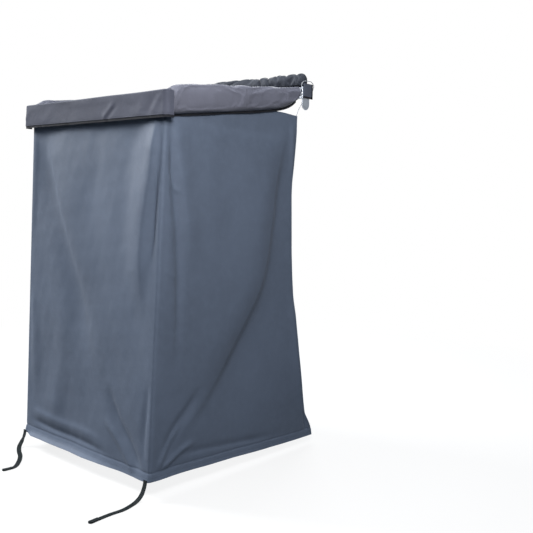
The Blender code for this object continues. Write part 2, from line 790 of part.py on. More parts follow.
def car_edge_y(side_name, z):
    """A side wall's free edge beside the car, which tucks in and then swings out."""
    drop = (WALL_TOP_Z - z) / (WALL_TOP_Z - HEM_Z)
    drop = min(max(drop, 0.0), 1.0)
    tuck = EDGE_TUCK * (1 - math.exp(-drop / EDGE_TUCK_DEPTH))
    corner = smooth_step((HEM_Z + LOOSE_CORNER_HEIGHT - z) / LOOSE_CORNER_HEIGHT)
    return ROOT_Y + EDGE_LEAD - tuck + EDGE_SWING * drop**3 + LOOSE_CORNER[side_name] * corner


def corner_edge_y(side, z):
    """Where a side wall's outer edge meets the outer wall."""
    return outer_wall_y(outer_wall_edge(side, z), z) + WALL_THICKNESS / 2 + CORNER_GAP


def cloth(name, columns, rows, place, colour=BLUE_GREY_CLOTH):
    """A hanging panel with its thickness: a grid laid out by place(across, down).

    across runs from 0 to 1, and down from 0 to 1 above the hem, whose own row ends at 2.
    """
    bm = bmesh.new()
    bmesh.ops.create_grid(bm, x_segments=columns, y_segments=rows + 1, size=0.5)
    for vert in bm.verts:
        row = (0.5 - vert.co.y) * (rows + 1)
        vert.co = place(vert.co.x + 0.5, row / rows if row <= rows + 0.5 else 2)
    obj = from_bmesh(name, bm)
    solidify(obj, WALL_THICKNESS, 0)
    return finish(obj, colour, 0.75)


def make_side_wall(side_name, side):
    """A side wall in two halves that part at the knee."""
    knee_y = pivot(side, 1).y

    def inner(across, down):
        near_knee = knee_y + SEAM_GAP / 2
        y_top = mix(ROOT_Y + EDGE_LEAD, near_knee, across)
        z = wall_level(side_wall_top(y_top), down, side_hem_z(y_top))
        y = mix(car_edge_y(side_name, z), near_knee, across)
        return side_wall_x(side, y, z), y, z

    def outer(across, down):
        near_knee = knee_y - SEAM_GAP / 2
        y_top = mix(near_knee, OUTER_Y, across)
        z = wall_level(side_wall_top(y_top), down, side_hem_z(y_top))
        y = mix(near_knee, corner_edge_y(side, z), across)
        return side_wall_x(side, y, z), y, z

    cloth(f"{side_name}_inner_wall", 11, 20, inner)
    cloth(f"{side_name}_outer_wall", 11, 20, outer)


def make_outer_wall():
    """The wall across the outside, hung under the bar."""
    top = BAR_Z - TUBE_HEIGHT / 2 - FIT

    def place(across, down):
        z = wall_level(top, down)
        x = mix(outer_wall_edge(-1, z), outer_wall_edge(1, z), across)
        return x, outer_wall_y(x, z), z

    cloth("outer_wall", 22, 20, place)


def sleeve_section(y):
    """A sleeve's top and bottom at a distance along the arms."""
    share = (SLEEVE_START_Y - y) / (SLEEVE_START_Y - SLEEVE_END_Y)
    top = mix(SLEEVE_TOP_CAR, SLEEVE_TOP_CORNER, share)
    pinch = SLEEVE_PINCH * math.exp(-(SLEEVE_START_Y - y) / SLEEVE_PINCH_REACH)
    height = mix(SLEEVE_HEIGHT_CAR, SLEEVE_HEIGHT_CORNER, share) - pinch
    return top, top - height


def make_sleeve(name, side, start_y, end_y):
    """A padded sleeve: an oval skin, closed but for the slot that the wall hangs through."""
    lip = WALL_THICKNESS / 2 + 2 * FIT
    slant = SLEEVE_THICKNESS / 2
    power = SLEEVE_SQUARENESS / 2
    outer_lip = (SLEEVE_SHIFT + lip + slant) / SLEEVE_HALF_WIDTH
    inner_lip = (SLEEVE_SHIFT - lip) / SLEEVE_HALF_WIDTH
    first = -math.acos(outer_lip**power)
    last = 2 * math.pi - math.acos(inner_lip**power)

    def place(around, along):
        y = mix(start_y, end_y, along)
        top, bottom = sleeve_section(y)
        angle = mix(first, last, around)
        across = math.copysign(abs(math.cos(angle)) ** (1 / power), math.cos(angle))
        up = math.copysign(abs(math.sin(angle)) ** (1 / power), math.sin(angle))
        x = SLEEVE_X + SLEEVE_HALF_WIDTH * across
        z = (top + bottom) / 2 + (top - bottom) / 2 * up
        return side * x, y, z

    bm = bmesh.new()
    bmesh.ops.create_grid(bm, x_segments=24, y_segments=5, size=0.5)
    for vert in bm.verts:
        vert.co = place(vert.co.x + 0.5, 0.5 - vert.co.y)
    obj = from_bmesh(name, bm)
    solidify(obj, SLEEVE_THICKNESS, -1)
    return finish(obj, BLUE_GREY_CLOTH, 0.7)


def make_valance():
    """The flat-faced cover over the outer bar: a top, a face and two narrow ends, open below and behind."""
    top = BAR_Z + TUBE_HEIGHT / 2 + FIT + VALANCE_THICKNESS
    half = BAR_END_X + 2 * FIT + CAP_LENGTH + VALANCE_CORNER
    depth = VALANCE_FRONT + VALANCE_BACK
    bm = bmesh.new()
    bmesh.ops.create_cube(bm, size=1, matrix=Matrix.Diagonal((2 * half, depth, VALANCE_HEIGHT, 1)))
    opened = [face for face in bm.faces if face.normal.z < -0.5 or face.normal.y > 0.5]
    bmesh.ops.delete(bm, geom=opened, context="FACES")
    mesh = bpy.data.meshes.new("valance")
    bm.to_mesh(mesh)
    bm.free()
    obj = add_object("valance", mesh)
    middle = OUTER_Y + (VALANCE_BACK - VALANCE_FRONT) / 2
    obj.location = (0, middle, top - VALANCE_HEIGHT / 2)
    bevel(obj, VALANCE_CORNER, 3)
    solidify(obj, VALANCE_THICKNESS, -1)
    under_bar = BAR_Z - TUBE_HEIGHT / 2
    for side in SIDES.values():
        low = top - VALANCE_HEIGHT - VALANCE_THICKNESS
        cut_back = VALANCE_BACK - VALANCE_END_BACK + VALANCE_THICKNESS
        cutter = box(
            f"valance_end_{side + 2}",
            (side * half, OUTER_Y + VALANCE_END_BACK + cut_back / 2, (under_bar + low) / 2),
            (2 * VALANCE_CORNER, cut_back, under_bar - low),
            CUTTERS,
        )
        combine(obj, cutter, "DIFFERENCE")
    return finish(obj, BLUE_GREY_CLOTH, 0.7)


def make_roll():
    """The cover, rolled up along the top of the rail."""
    half = RAIL_LENGTH / 2 - END_PLATE_THICKNESS
    stations = 20
    profile = [(0.0, half)]
    for step in range(stations + 1):
        z = mix(half, -half, step / stations)
        from_end = min(half - abs(z), ROLL_END_ROUND) / ROLL_END_ROUND
        rounding = math.sqrt(max(1 - (1 - from_end) ** 2, 0.09))
        lump = ROLL_LUMP * math.sin(z * 23) * math.sin(z * 9 + 1)
        profile.append((ROLL_RADIUS * rounding + lump - ROLL_LUMP, z))
    profile.append((0.0, -half))
    obj = turned("cover_roll", profile, ROLL_SIDES)
    flat_down = Matrix.Rotation(math.pi / ROLL_SIDES, 3, "Z")
    obj.rotation_euler = (Matrix.Rotation(math.pi / 2, 3, "Y") @ flat_down).to_euler()
    flat_radius = max(radius for radius, z in profile) * math.cos(math.pi / ROLL_SIDES)
    obj.location = (0, -RAIL_DEPTH / 2, RAIL_HEIGHT / 2 + FIT + flat_radius)
    return finish(obj, DARK_CLOTH, 0.8)


def make_end_flap(name, side):
    """The cover's flat end, hanging against the rail's end plate."""
    height = FLAP_TOP_Z - FLAP_BOTTOM_Z
    x = RAIL_LENGTH / 2 + 2 * FIT + END_PLATE_THICKNESS + FLAP_THICKNESS / 2
    centre = (side * x, FLAP_BACK - FLAP_WIDTH / 2, (FLAP_TOP_Z + FLAP_BOTTOM_Z) / 2)
    obj = box(name, centre, (FLAP_THICKNESS, FLAP_WIDTH, height))
    bevel(obj, FLAP_THICKNESS / 3)
    return finish(obj, DARK_CLOTH, 0.75)


def smooth_route(points, spacing):
    """Evenly spaced points along a smooth curve through a route's own points."""
    route = [Vector(point) for point in points]
    padded = [2 * route[0] - route[1], *route, 2 * route[-1] - route[-2]]
    fine = []
    for before, start, end, after in zip(padded, padded[1:], padded[2:], padded[3:]):
        for step in range(20):
            share = step / 20
            fine.append(
                0.5
                * (
                    2 * start
                    + (end - before) * share
                    + (2 * before - 5 * start + 4 * end - after) * share**2
                    + (3 * start - before - 3 * end + after) * share**3
                )
            )
    fine.append(route[-1])
    total = sum((second - first).length for first, second in zip(fine, fine[1:]))
    count = max(2, round(total / spacing))
    even = [fine[0]]
    walked = 0.0
    for first, second in zip(fine, fine[1:]):
        length = (second - first).length
        while walked + length >= total * len(even) / count and len(even) < count:
            share = (total * len(even) / count - walked) / length
            even.append(first.lerp(second, share))
        walked += length
    even.append(fine[-1])
    return even


def round_cord(name, points, radius):
    """A round cord along its points, with closed ends."""
    curve = bpy.data.curves.new(name, "CURVE")
    curve.dimensions = "3D"
    curve.use_fill_caps = True
    curve.bevel_resolution = 2
    curve.bevel_depth = radius
    spline = curve.splines.new("POLY")
    spline.points.add(len(points) - 1)
    for point, place in zip(spline.points, points):
        point.co = (*place, 1)
    return add_object(name, curve)


def tie_route(side, points):
    """A tie's route on one side, its points given for the front side."""
    return smooth_route([(side * x, y, z) for x, y, z in points], TIE_RADIUS * 5)


def make_ties(side_name, side):
    """The two elastics at a rail end: one holds the wall's top corner up, one holds the roll down."""
    start_y = ROOT_Y + EDGE_LEAD / 2
    wall_top = side_wall_top(start_y) + 2 * FIT
    rail_front = -RAIL_DEPTH - FIT
    rail_end = RAIL_LENGTH / 2
    land = rail_end - 0.012
    under = -RAIL_HEIGHT / 2 - FIT - TIE_RADIUS
    lower = (
        (ARM_X, start_y, wall_top),
        (ARM_X, start_y, wall_top + 3 * TIE_RADIUS),
        (ARM_X + 0.001, start_y + 0.006, wall_top + 0.022),
        (ARM_X + 0.008, start_y + 0.016, wall_top + 0.050),
        (land, -RAIL_DEPTH * 0.75, under - 0.012),
        (land, -RAIL_DEPTH * 0.75, under + TIE_RADIUS),
    )
    over = FLAP_TOP_Z + 6 * TIE_RADIUS
    behind = FLAP_BACK + 4 * TIE_RADIUS
    flap_front = FLAP_BACK - FLAP_WIDTH
    upper = (
        (land, rail_front, SLOT_PITCH * 0.8),
        (land, rail_front - 0.010, SLOT_PITCH * 0.8),
        (rail_end - 0.006, flap_front - 0.005, SLOT_PITCH * 0.8 + 0.010),
        (rail_end - 0.001, flap_front - 0.008, over - 0.014),
        (rail_end + 0.005, flap_front + 0.003, over - 0.001),
        (rail_end + 0.011, -0.018, over + 0.001),
        (rail_end + 0.013, 0.012, over),
        (rail_end + 0.008, behind, 0.040),
        (rail_end - 0.004, behind - 0.002, 0.010),
        (rail_end - 0.010, 0.018, 0.0),
        (rail_end - 0.010, FIT, 0.0),
    )
    for name, points in ((f"{side_name}_tie", lower), (f"{side_name}_roll_tie", upper)):
        finish(round_cord(name, tie_route(side, points), TIE_RADIUS), PALE_CORD, 0.7)


# How far each strap has run along X and Y from where it leaves the hem, and how far it has come down
# to the ground there, from 0 to 1.
FRONT_STRAP = (
    (0.000, -0.006, 0.30),
    (0.001, -0.022, 0.68),
    (0.006, -0.052, 0.93),
    (0.020, -0.100, 1.0),
    (0.034, -0.160, 1.0),
    (0.032, -0.230, 1.0),
    (0.036, -0.300, 1.0),
    (0.042, -0.355, 1.0),
)
REAR_STRAP = (
    (0.000, -0.006, 0.30),
    (0.001, -0.022, 0.68),
    (0.022, -0.050, 0.93),
    (0.080, -0.086, 1.0),
    (0.160, -0.126, 1.0),
    (0.235, -0.180, 1.0),
    (0.292, -0.240, 1.0),
    (0.296, -0.310, 1.0),
)


def make_strap(name, side, route):
    """A peg strap, sewn flat on the outer wall's bottom corner, then down to the ground and along it."""
    x = outer_wall_edge(side, HEM_Z) - side * (STRAP_INSET + STRAP_WIDTH / 2)
    stand_off = WALL_THICKNESS / 2 + 2 * FIT + STRAP_THICKNESS / 2

    def on_wall(z):
        return Vector((x, outer_wall_y(x, z) - stand_off, z))

    leaving = on_wall(HEM_Z)
    ground = GROUND_Z + STRAP_THICKNESS / 2
    points = [on_wall(HEM_Z + STRAP_TAB), on_wall(HEM_Z + STRAP_TAB / 2), leaving]
    for along_x, along_y, fallen in route:
        points.append(Vector((x + along_x, leaving.y + along_y, mix(HEM_Z, ground, fallen))))
    stations = smooth_route(points, STRAP_WIDTH / 2)
    last = len(stations) - 1
    bm = bmesh.new()
    bmesh.ops.create_grid(bm, x_segments=2, y_segments=last, size=0.5)
    for vert in bm.verts:
        step = round((0.5 - vert.co.y) * last)
        heading = stations[min(step + 1, last)] - stations[max(step - 1, 0)]
        square = Vector((-heading.y, heading.x, 0)).normalized()
        rounding = 0.4 if step == last else 1.0
        vert.co = stations[step] + square * (vert.co.x * STRAP_WIDTH * rounding)
    obj = from_bmesh(name, bm)
    solidify(obj, STRAP_THICKNESS, 0)
    return finish(obj, BLACK_WEBBING, 0.85, smooth=False)


def build():
    """Make every sub-part."""
    clear_scene()
    make_rail()
    make_outer_bar()
    make_outer_wall()
    make_valance()
    make_roll()
    knee_y = pivot(1, 1).y
    for side_name, side in SIDES.items():
        make_end_plate(f"{side_name}_end_plate", side)
        make_bracket(f"{side_name}_rack_bracket", side)
        for level_name, level in (("upper", 1), ("lower", -1)):
            make_bracket_bolt(f"{side_name}_{level_name}_bracket_bolt", side, level)
        make_arm(side_name, side)
        make_side_wall(side_name, side)
        make_sleeve(f"{side_name}_inner_sleeve", side, SLEEVE_START_Y, knee_y + SEAM_GAP / 2)
        make_sleeve(f"{side_name}_outer_sleeve", side, knee_y - SEAM_GAP / 2, SLEEVE_END_Y)
        make_end_flap(f"{side_name}_end_flap", side)
        make_ties(side_name, side)
    make_strap("front_peg_strap", 1, FRONT_STRAP)
    make_strap("rear_peg_strap", -1, REAR_STRAP)


build()
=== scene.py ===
"""Vehicle shower tent: the cloth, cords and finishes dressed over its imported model.

Laid out as an add-on and run as a script. Metres, +Z up. The rail lies along X with its front end at
+X, and the tent stands out from it towards -Y. The origin is the middle of the rail's back face.
"""

import math

import bpy
import numpy as np
from bpy.props import FloatProperty, FloatVectorProperty, IntProperty, PointerProperty
from mathutils import Matrix, Vector


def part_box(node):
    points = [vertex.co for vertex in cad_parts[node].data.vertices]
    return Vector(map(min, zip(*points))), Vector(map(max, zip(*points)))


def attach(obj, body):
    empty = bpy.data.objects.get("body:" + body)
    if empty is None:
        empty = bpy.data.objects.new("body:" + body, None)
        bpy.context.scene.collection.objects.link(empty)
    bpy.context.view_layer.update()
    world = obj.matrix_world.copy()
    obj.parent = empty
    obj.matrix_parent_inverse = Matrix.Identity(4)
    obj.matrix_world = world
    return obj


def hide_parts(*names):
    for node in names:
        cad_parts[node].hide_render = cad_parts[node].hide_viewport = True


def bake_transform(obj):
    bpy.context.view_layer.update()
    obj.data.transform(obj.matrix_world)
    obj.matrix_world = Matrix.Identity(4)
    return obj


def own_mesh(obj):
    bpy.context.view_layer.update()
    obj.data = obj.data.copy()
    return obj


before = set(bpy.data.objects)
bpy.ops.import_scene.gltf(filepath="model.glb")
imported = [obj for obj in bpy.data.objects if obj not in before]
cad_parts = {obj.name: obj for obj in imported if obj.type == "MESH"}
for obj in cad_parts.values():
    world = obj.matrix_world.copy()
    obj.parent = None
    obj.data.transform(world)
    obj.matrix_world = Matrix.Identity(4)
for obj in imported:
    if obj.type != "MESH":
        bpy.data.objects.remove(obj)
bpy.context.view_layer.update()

bl_info = {
    "name": "Vehicle Shower Tent",
    "version": (1, 0, 0),
    "blender": (4, 5, 0),
    "location": "3D View > Sidebar > Shower Tent",
    "description": "Cloth walls, sleeves, rolled cover, cords and finishes for a vehicle shower tent",
    "category": "Add Mesh",
}

# The frame, as the part's source has it.
ARM_X = 0.569
ARM_REACH = 0.462
ARM_FALL = 0.064
ARM_SLOPE = math.atan2(ARM_FALL, ARM_REACH)
ROOT_Y = -0.062
KNEE_Y = ROOT_Y - ARM_REACH
OUTER_Y = -1.041
BAR_Z = -0.128
TUBE_HEIGHT = 0.030
TUBE_SETBACK = 0.036
FIT = 0.0003
GROUND_Z = -2.075
BAR_UNDERSIDE_Z = BAR_Z - TUBE_HEIGHT / 2 - FIT

# The hanging cloth.
WALL_TOP_Z = -0.125
WALL_DROP = 0.003
SLACK_START = 0.36
SLACK_LENGTH = 0.17
EDGE_DIP = 0.008
EDGE_DIP_REACH = 0.08
HEM_Z = -1.995
HEM_FALL = 0.035
FLARE_TOP_Z = -0.262
SIDE_FLARE = 0.004
CORNER_FLARE = {1: 0.075, -1: 0.050}
EDGE_LEAD = 0.010
EDGE_TUCK = 0.006
EDGE_TUCK_DEPTH = 0.07
EDGE_SWING = 0.175
LOOSE_CORNER = {1: 0.034, -1: 0.0}
LOOSE_CORNER_HEIGHT = 0.135
CORNER_ROUND = 0.016
CORNER_PROUD = 0.0015
CORNER_FADE = 0.045
SIDE_JOIN_Y = -0.985
OUTER_JOIN_X = 0.530
HEM_PINCH = 0.0016
HEM_PINCH_REACH = 0.0045
HEM_PUFF = 0.0024
SIDE_CURL = 0.008
CORNER_CURL = 0.003
OUTER_CURL = 0.010
OUTER_REAR_CURL = 0.020

# The size that each sheet is cut to, across and down.
FLAP_CUT = (0.08, 0.083)

# Points nearer than this are one point.
MERGE_DISTANCE = 1e-5

SIDES = {"front": 1, "rear": -1}


def smooth(value):
    """Ease from 0 to 1."""
    value = np.clip(value, 0.0, 1.0)
    return value * value * (3 - 2 * value)


def mix(first, second, share):
    """The value that share of the way between two others."""
    return first + (second - first) * share


# Sizes and colours that the panel shows


def length_property(name, description, default):
    """A length that the panel shows."""
    return FloatProperty(name=name, description=description, unit="LENGTH", default=default)


def colour_property(name, description, default):
    """A colour that the panel shows."""
    return FloatVectorProperty(
        name=name, description=description, subtype="COLOR", size=3, min=0, max=1, default=default
    )


class TentSizes(bpy.types.PropertyGroup):
    """Sizes that a user would change."""

    fold_depth: FloatProperty(
        name="Fold depth",
        description="How deep the walls' main folds are, against the ones in the photograph",
        default=1.0,
        min=0.0,
        max=2.0,
    )
    cloth_thickness: length_property("Cloth thickness", "Thickness of the walls' coated cloth", 0.0014)
    hem_height: length_property("Hem height", "Height of the turned hem along the walls' bottom edge", 0.042)
    # The dark tape below the valance and sleeves also paints the shadow under them.
    tape_and_shadow_drop: length_property(
        "Tape drop", "How far the dark tape hangs below the valance's and the sleeves' lower edges", 0.011
    )
    weave_pitch: length_property("Weave pitch", "Distance between the cloth's threads", 0.0011)
    stitch_pitch: length_property("Stitch pitch", "Distance from one stitch to the next", 0.0045)
    wall_columns: IntProperty(
        name="Wall columns", description="Faces across each wall", default=130, min=20, max=180
    )


class TentColours(bpy.types.PropertyGroup):
    """Colours that a user would change, as linear values."""

    wall: colour_property("Walls", "Blue-grey coated cloth", (0.112, 0.140, 0.194))
    sleeve: colour_property("Sleeves", "Cloth of the arm sleeves", (0.135, 0.140, 0.178))
    # The valance is the sleeves' own cloth; its darker colour is painted shade on the band.
    valance: colour_property("Valance", "Cloth of the band over the outer bar", (0.081, 0.087, 0.116))
    cover: colour_property("Cover", "Dark cloth of the rolled cover", (0.036, 0.041, 0.054))
    # The binding colour also darkens the strips that paint the shadow under the valance and sleeves.
    binding: colour_property("Binding", "Dark edge tape", (0.014, 0.015, 0.020))
    webbing: colour_property("Webbing", "Black peg straps", (0.005, 0.010, 0.012))
    elastic: colour_property("Elastic", "Pale elastic cord", (0.56, 0.59, 0.64))
    floor: colour_property("Floor", "Pale floor", (0.86, 0.86, 0.86))


# Materials


class Wire:
    """A node's output that Python's own arithmetic works on."""

    def __init__(self, nodes, socket):
        self.nodes = nodes
        self.socket = socket

    def __add__(self, other):
        return self.nodes.math("ADD", self, other)

    def __sub__(self, other):
        return self.nodes.math("SUBTRACT", self, other)

    def __rsub__(self, other):
        return self.nodes.math("SUBTRACT", other, self)

    def __mul__(self, other):
        return self.nodes.math("MULTIPLY", self, other)

    def __truediv__(self, other):
        return self.nodes.math("DIVIDE", self, other)

    def __lt__(self, other):
        return self.nodes.math("LESS_THAN", self, other)

    def __abs__(self):
        return self.nodes.math("ABSOLUTE", self)

    def __pow__(self, other):
        return self.nodes.math("POWER", self, other)

    __radd__ = __add__
    __rmul__ = __mul__

    def sine(self):
        return self.nodes.math("SINE", self)

    def fraction(self):
        return self.nodes.math("FRACT", self)

    def parts(self):
        """The three numbers of a vector."""
        split = self.nodes.node("ShaderNodeSeparateXYZ", None, {"Vector": self}).socket.node
        return [Wire(self.nodes, split.outputs[axis]) for axis in "XYZ"]


class Nodes:
    """A node tree that one method adds nodes to."""

    def __init__(self, tree):
        self.tree = tree

    def node(self, kind, settings=None, inputs=None, output=0):
        """Add a node: its settings first, then the values or links of its sockets."""
        made = self.tree.nodes.new(kind)
        for setting, value in (settings or {}).items():
            setattr(made, setting, value)
        for key, value in (inputs or {}).items():
            if isinstance(value, Wire):
                self.tree.links.new(value.socket, made.inputs[key])
            else:
                made.inputs[key].default_value = value
        return Wire(self, made.outputs[output])

    def math(self, operation, *values):
        return self.node("ShaderNodeMath", {"operation": operation}, dict(enumerate(values)))

    def seen(self, by):
        """1 for the camera's rays and for those of one other kind, and 0 for the rest."""
        path = self.node("ShaderNodeLightPath").socket.node
        return self.math("MAXIMUM", *(Wire(self, path.outputs[ray]) for ray in ("Is Camera Ray", by)))


class Finish(Nodes):
    """A material, with the nodes that make it vary over a surface."""

    def __init__(self, name, roughness, metallic=0.0, **constants):
        self.material = bpy.data.materials.new(name)
        self.material.use_nodes = True
        super().__init__(self.material.node_tree)
        self.shader = self.tree.nodes["Principled BSDF"]
        for socket, value in {"Roughness": roughness, "Metallic": metallic, **constants}.items():
            self.shader.inputs[socket.replace("_", " ")].default_value = value

    def place(self, kind="Object"):
        """The place of a point on the piece: Object, in metres, or UV."""
        return self.node("ShaderNodeTexCoord", None, None, kind)

    def stretched(self, scale):
        """Object coordinates with each axis scaled."""
        return self.node("ShaderNodeMapping", None, {"Vector": self.place(), "Scale": scale})

    def noise(self, scale, detail=2.0, roughness=0.5, distortion=0.0, vector=None):
        """Smooth noise from 0 to 1."""
        sockets = ("Vector", "Scale", "Detail", "Roughness", "Distortion")
        values = (vector or self.place(), scale, detail, roughness, distortion)
        return self.node("ShaderNodeTexNoise", None, dict(zip(sockets, values)))

    def span(self, value, low, high, to_low=0.0, to_high=1.0):
        """Ease a value from one range to another."""
        return self.node(
            "ShaderNodeMapRange",
            {"interpolation_type": "SMOOTHSTEP"},
            {"Value": value, 1: low, 2: high, 3: to_low, 4: to_high},
        )

    def blend(self, share, first, second):
        """Mix two colours, each a colour or a wire."""
        first, second = (
            value if isinstance(value, Wire) else (*value[:3], 1.0) for value in (first, second)
        )
        return self.node("ShaderNodeMix", {"data_type": "RGBA"}, {0: share, 6: first, 7: second}, 2)

    def feed(self, socket, wire):
        self.tree.links.new(wire.socket, self.shader.inputs[socket])

    def surface(self, tone, height, rough=None):
        """Feed the shader its colour, its relief from a height in metres, and its roughness."""
        self.feed("Base Color", tone)
        bump = self.node("ShaderNodeBump", None, {"Distance": 1.0, "Height": height, "Strength": 1.0})
        self.feed("Normal", bump)
        if rough is not None:
            self.feed("Roughness", rough)
        return self.material


def shade(colour, factor):
    """A colour made darker or lighter."""
    return tuple(min(1.0, channel * factor) for channel in colour)


def cloth_finish(
    name, colour, roughness=0.6, crumple=0.4, seams=(), cross_seams=(), sheen=0.05, wear=0.3, specular=0.14
):
    """Coated woven cloth. The UV map is in metres. Seams lie at heights up it, or at distances along it."""
    sizes = bpy.context.scene.tent_sizes
    finish = Finish(name, roughness, Sheen_Weight=sheen, Sheen_Roughness=0.45, Specular_IOR_Level=specular)
    along, up, _ = finish.place("UV").parts()
    turn = 2 * math.pi / sizes.weave_pitch
    threads = (along * turn).sine() * (up * turn).sine()
    slub = finish.noise(140, 3, 0.6)
    broad = finish.noise(1.7, 3, 0.55)
    mottle = finish.noise(23, 4, 0.6)
    tone = finish.blend(finish.span(broad, 0.3, 0.7), shade(colour, 0.93), shade(colour, 1.07))
    tone = finish.blend(finish.span(mottle, 0.35, 0.75) * 0.35, tone, shade(colour, 1.18))
    tone = finish.blend(finish.span(threads, -1, 1, 0, 0.10), tone, shade(colour, 0.62))
    dust = finish.span(finish.noise(6.5, 5, 0.7, 0.8), 0.56, 0.78) * wear * 0.4
    tone = finish.blend(dust, tone, shade(colour, 1.55))
    ridged = abs(finish.noise(17, 3, 0.55, 1.1) - 0.5)
    height = threads * 0.00004 + slub * 0.00007
    height = height + finish.noise(9, 3, 0.5, 0.6) * 0.0016 * crumple - ridged * 0.0022 * crumple
    rough = finish.span(broad, 0.3, 0.7, roughness - 0.05, roughness + 0.05) + slub * 0.06
    lines = [(up, seam, along) for seam in seams] + [(along, seam, up) for seam in cross_seams]
    for line, distance, run in lines:
        away = abs(line - distance)
        dash = (run / sizes.stitch_pitch).fraction() < 0.66
        thread = finish.span(away, 0.0004, 0.0009, 1, 0) * dash
        pucker = finish.span(away, 0.0, 0.005, 1, 0)
        gather = finish.noise(95, 2, 0.5) * pucker
        height = height - pucker * 0.0005 + gather * 0.0009 + thread * 0.0004
        # Painted shade: the cloth is darkened in the seam's pucker, where shade falls in its crease.
        tone = finish.blend(pucker * 0.16, tone, shade(colour, 0.55))
        tone = finish.blend(thread * 0.8, tone, shade(colour, 0.45))
    return finish.surface(tone, height, rough)


def webbing_finish(name, colour, ribs=0.0016):
    """Woven webbing: ribs across it, darker edges and a little fluff."""
    finish = Finish(name, 0.75, Specular_IOR_Level=0.2)
    along, across, _ = finish.place("UV").parts()
    rib = (along * (2 * math.pi / ribs)).sine()
    cord = (across * (2 * math.pi / (ribs * 1.3)) + rib * 0.6).sine()
    dust = finish.noise(55, 4, 0.65)
    tone = finish.blend(finish.span(rib, -1, 1, 0, 0.5), shade(colour, 0.7), shade(colour, 1.6))
    tone = finish.blend(finish.span(dust, 0.52, 0.8) * 0.22, tone, (0.05, 0.058, 0.06))
    rough = finish.span(dust, 0.3, 0.8, 0.62, 0.85)
    return finish.surface(tone, rib * 0.00016 + cord * 0.00010, rough)


def tape_finish(name, colour):
    """Dark woven edge tape, with a fine rib across it."""
    finish = Finish(name, 0.8, Specular_IOR_Level=0.2)
    along = finish.place("UV").parts()[0]
    rib = (along * (2 * math.pi / 0.0012)).sine()
    fluff = finish.noise(70, 4, 0.65)
    tone = finish.blend(finish.span(rib, -1, 1, 0, 0.4), shade(colour, 0.8), shade(colour, 1.5))
    tone = finish.blend(finish.span(fluff, 0.5, 0.8) * 0.3, tone, shade(colour, 3.0))
    rough = finish.span(fluff, 0.3, 0.8, 0.72, 0.88)
    return finish.surface(tone, rib * 0.00008 + finish.noise(190, 3, 0.6) * 0.00012, rough)


def elastic_finish(name, colour):
    """Round braided elastic: two sets of strands that cross."""
    finish = Finish(name, 0.6, Sheen_Weight=0.15)
    along, around, _ = finish.place("UV").parts()
    turn = 2 * math.pi
    left = (along * (turn / 0.0036) + around * turn * 6).sine()
    right = (along * (turn / 0.0036) - around * turn * 6).sine()
    braid = finish.math("MAXIMUM", left, right)
    soil = finish.noise(120, 3, 0.6)
    tone = finish.blend(finish.span(braid, -0.6, 1), shade(colour, 0.5), colour)
    tone = finish.blend(finish.span(soil, 0.5, 0.8) * 0.3, tone, (0.22, 0.23, 0.25))
    return finish.surface(tone, braid * 0.00022)


def metal_finish(name, colour, roughness, drawn=None, cast=False, spots=0.0):
    """Metal, with drawn lines along an axis, a cast grain, or the spangle of plating."""
    finish = Finish(name, roughness, 1.0)
    tone = finish.blend(
        finish.span(finish.noise(14, 4, 0.6), 0.3, 0.75), shade(colour, 0.82), shade(colour, 1.08)
    )
    rough = finish.span(finish.noise(9, 3), 0.3, 0.7, roughness - 0.06, roughness + 0.08)
    height = finish.noise(420, 2, 0.6) * 0.00001
    if drawn:
        lines = finish.noise(1.0, 2, 0.7, 0, finish.stretched(drawn))
        tone = finish.blend(finish.span(lines, 0.35, 0.7) * 0.4, tone, shade(colour, 0.7))
        rough = rough + lines * 0.10
        height = height + lines * 0.00003
    if cast:
        pits = finish.span(finish.noise(330, 2), 0.62, 0.8)
        height = height + finish.noise(900, 3, 0.65) * 0.00012 - pits * 0.0001
        tone = finish.blend(pits * 0.5, tone, shade(colour, 0.5))
    if spots:
        spangle = finish.node("ShaderNodeTexVoronoi", None, {"Vector": finish.place(), "Scale": 260.0})
        tone = finish.blend(finish.span(spangle, 0.1, 0.8) * spots, tone, shade(colour, 1.3))
        rough = rough + spangle * 0.12
    scuff = finish.span(finish.noise(60, 5, 0.75, 0.4), 0.62, 0.72)
    tone = finish.blend(scuff * 0.35, tone, shade(colour, 1.25))
    return finish.surface(tone, height, rough + scuff * 0.15)


def plastic_finish(name, colour):
    """Moulded black plastic with a spark-eroded grain."""
    finish = Finish(name, 0.5, Specular_IOR_Level=0.5)
    grain = finish.noise(1500, 2, 0.6)
    scuff = finish.span(finish.noise(85, 5, 0.7, 0.5), 0.6, 0.74)
    tone = finish.blend(finish.span(grain, 0.4, 0.7) * 0.3, colour, shade(colour, 1.7))
    tone = finish.blend(scuff * 0.35, tone, (0.07, 0.07, 0.075))
    return finish.surface(tone, grain * 0.00006, finish.span(grain, 0.3, 0.7, 0.42, 0.60))


# Mesh helpers


def deselect():
    """Leave nothing selected, so that an operator works on its own piece alone."""
    if bpy.context.object and bpy.context.object.mode != "OBJECT":
        bpy.ops.object.mode_set(mode="OBJECT")
    for obj in bpy.context.selected_objects:
        obj.select_set(False)


def choose(obj):
    """Make one object the active and selected one."""
    deselect()
    bpy.context.view_layer.objects.active = obj
    obj.select_set(True)


def edit(obj, operator, **settings):
    """Run an edit mode operator on the whole of a mesh."""
    choose(obj)
    bpy.ops.object.mode_set(mode="EDIT")
    bpy.ops.mesh.select_all(action="SELECT")
    operator(**settings)
    bpy.ops.object.mode_set(mode="OBJECT")
    return obj


def apply_modifiers(obj):
    """Bake an object's modifiers into its mesh."""
    choose(obj)
    for modifier in list(obj.modifiers):
        bpy.ops.object.modifier_apply(modifier=modifier.name)


def recalculate(obj):
    """Point the faces of a closed mesh outwards."""
    return edit(obj, bpy.ops.mesh.normals_make_consistent, inside=False)


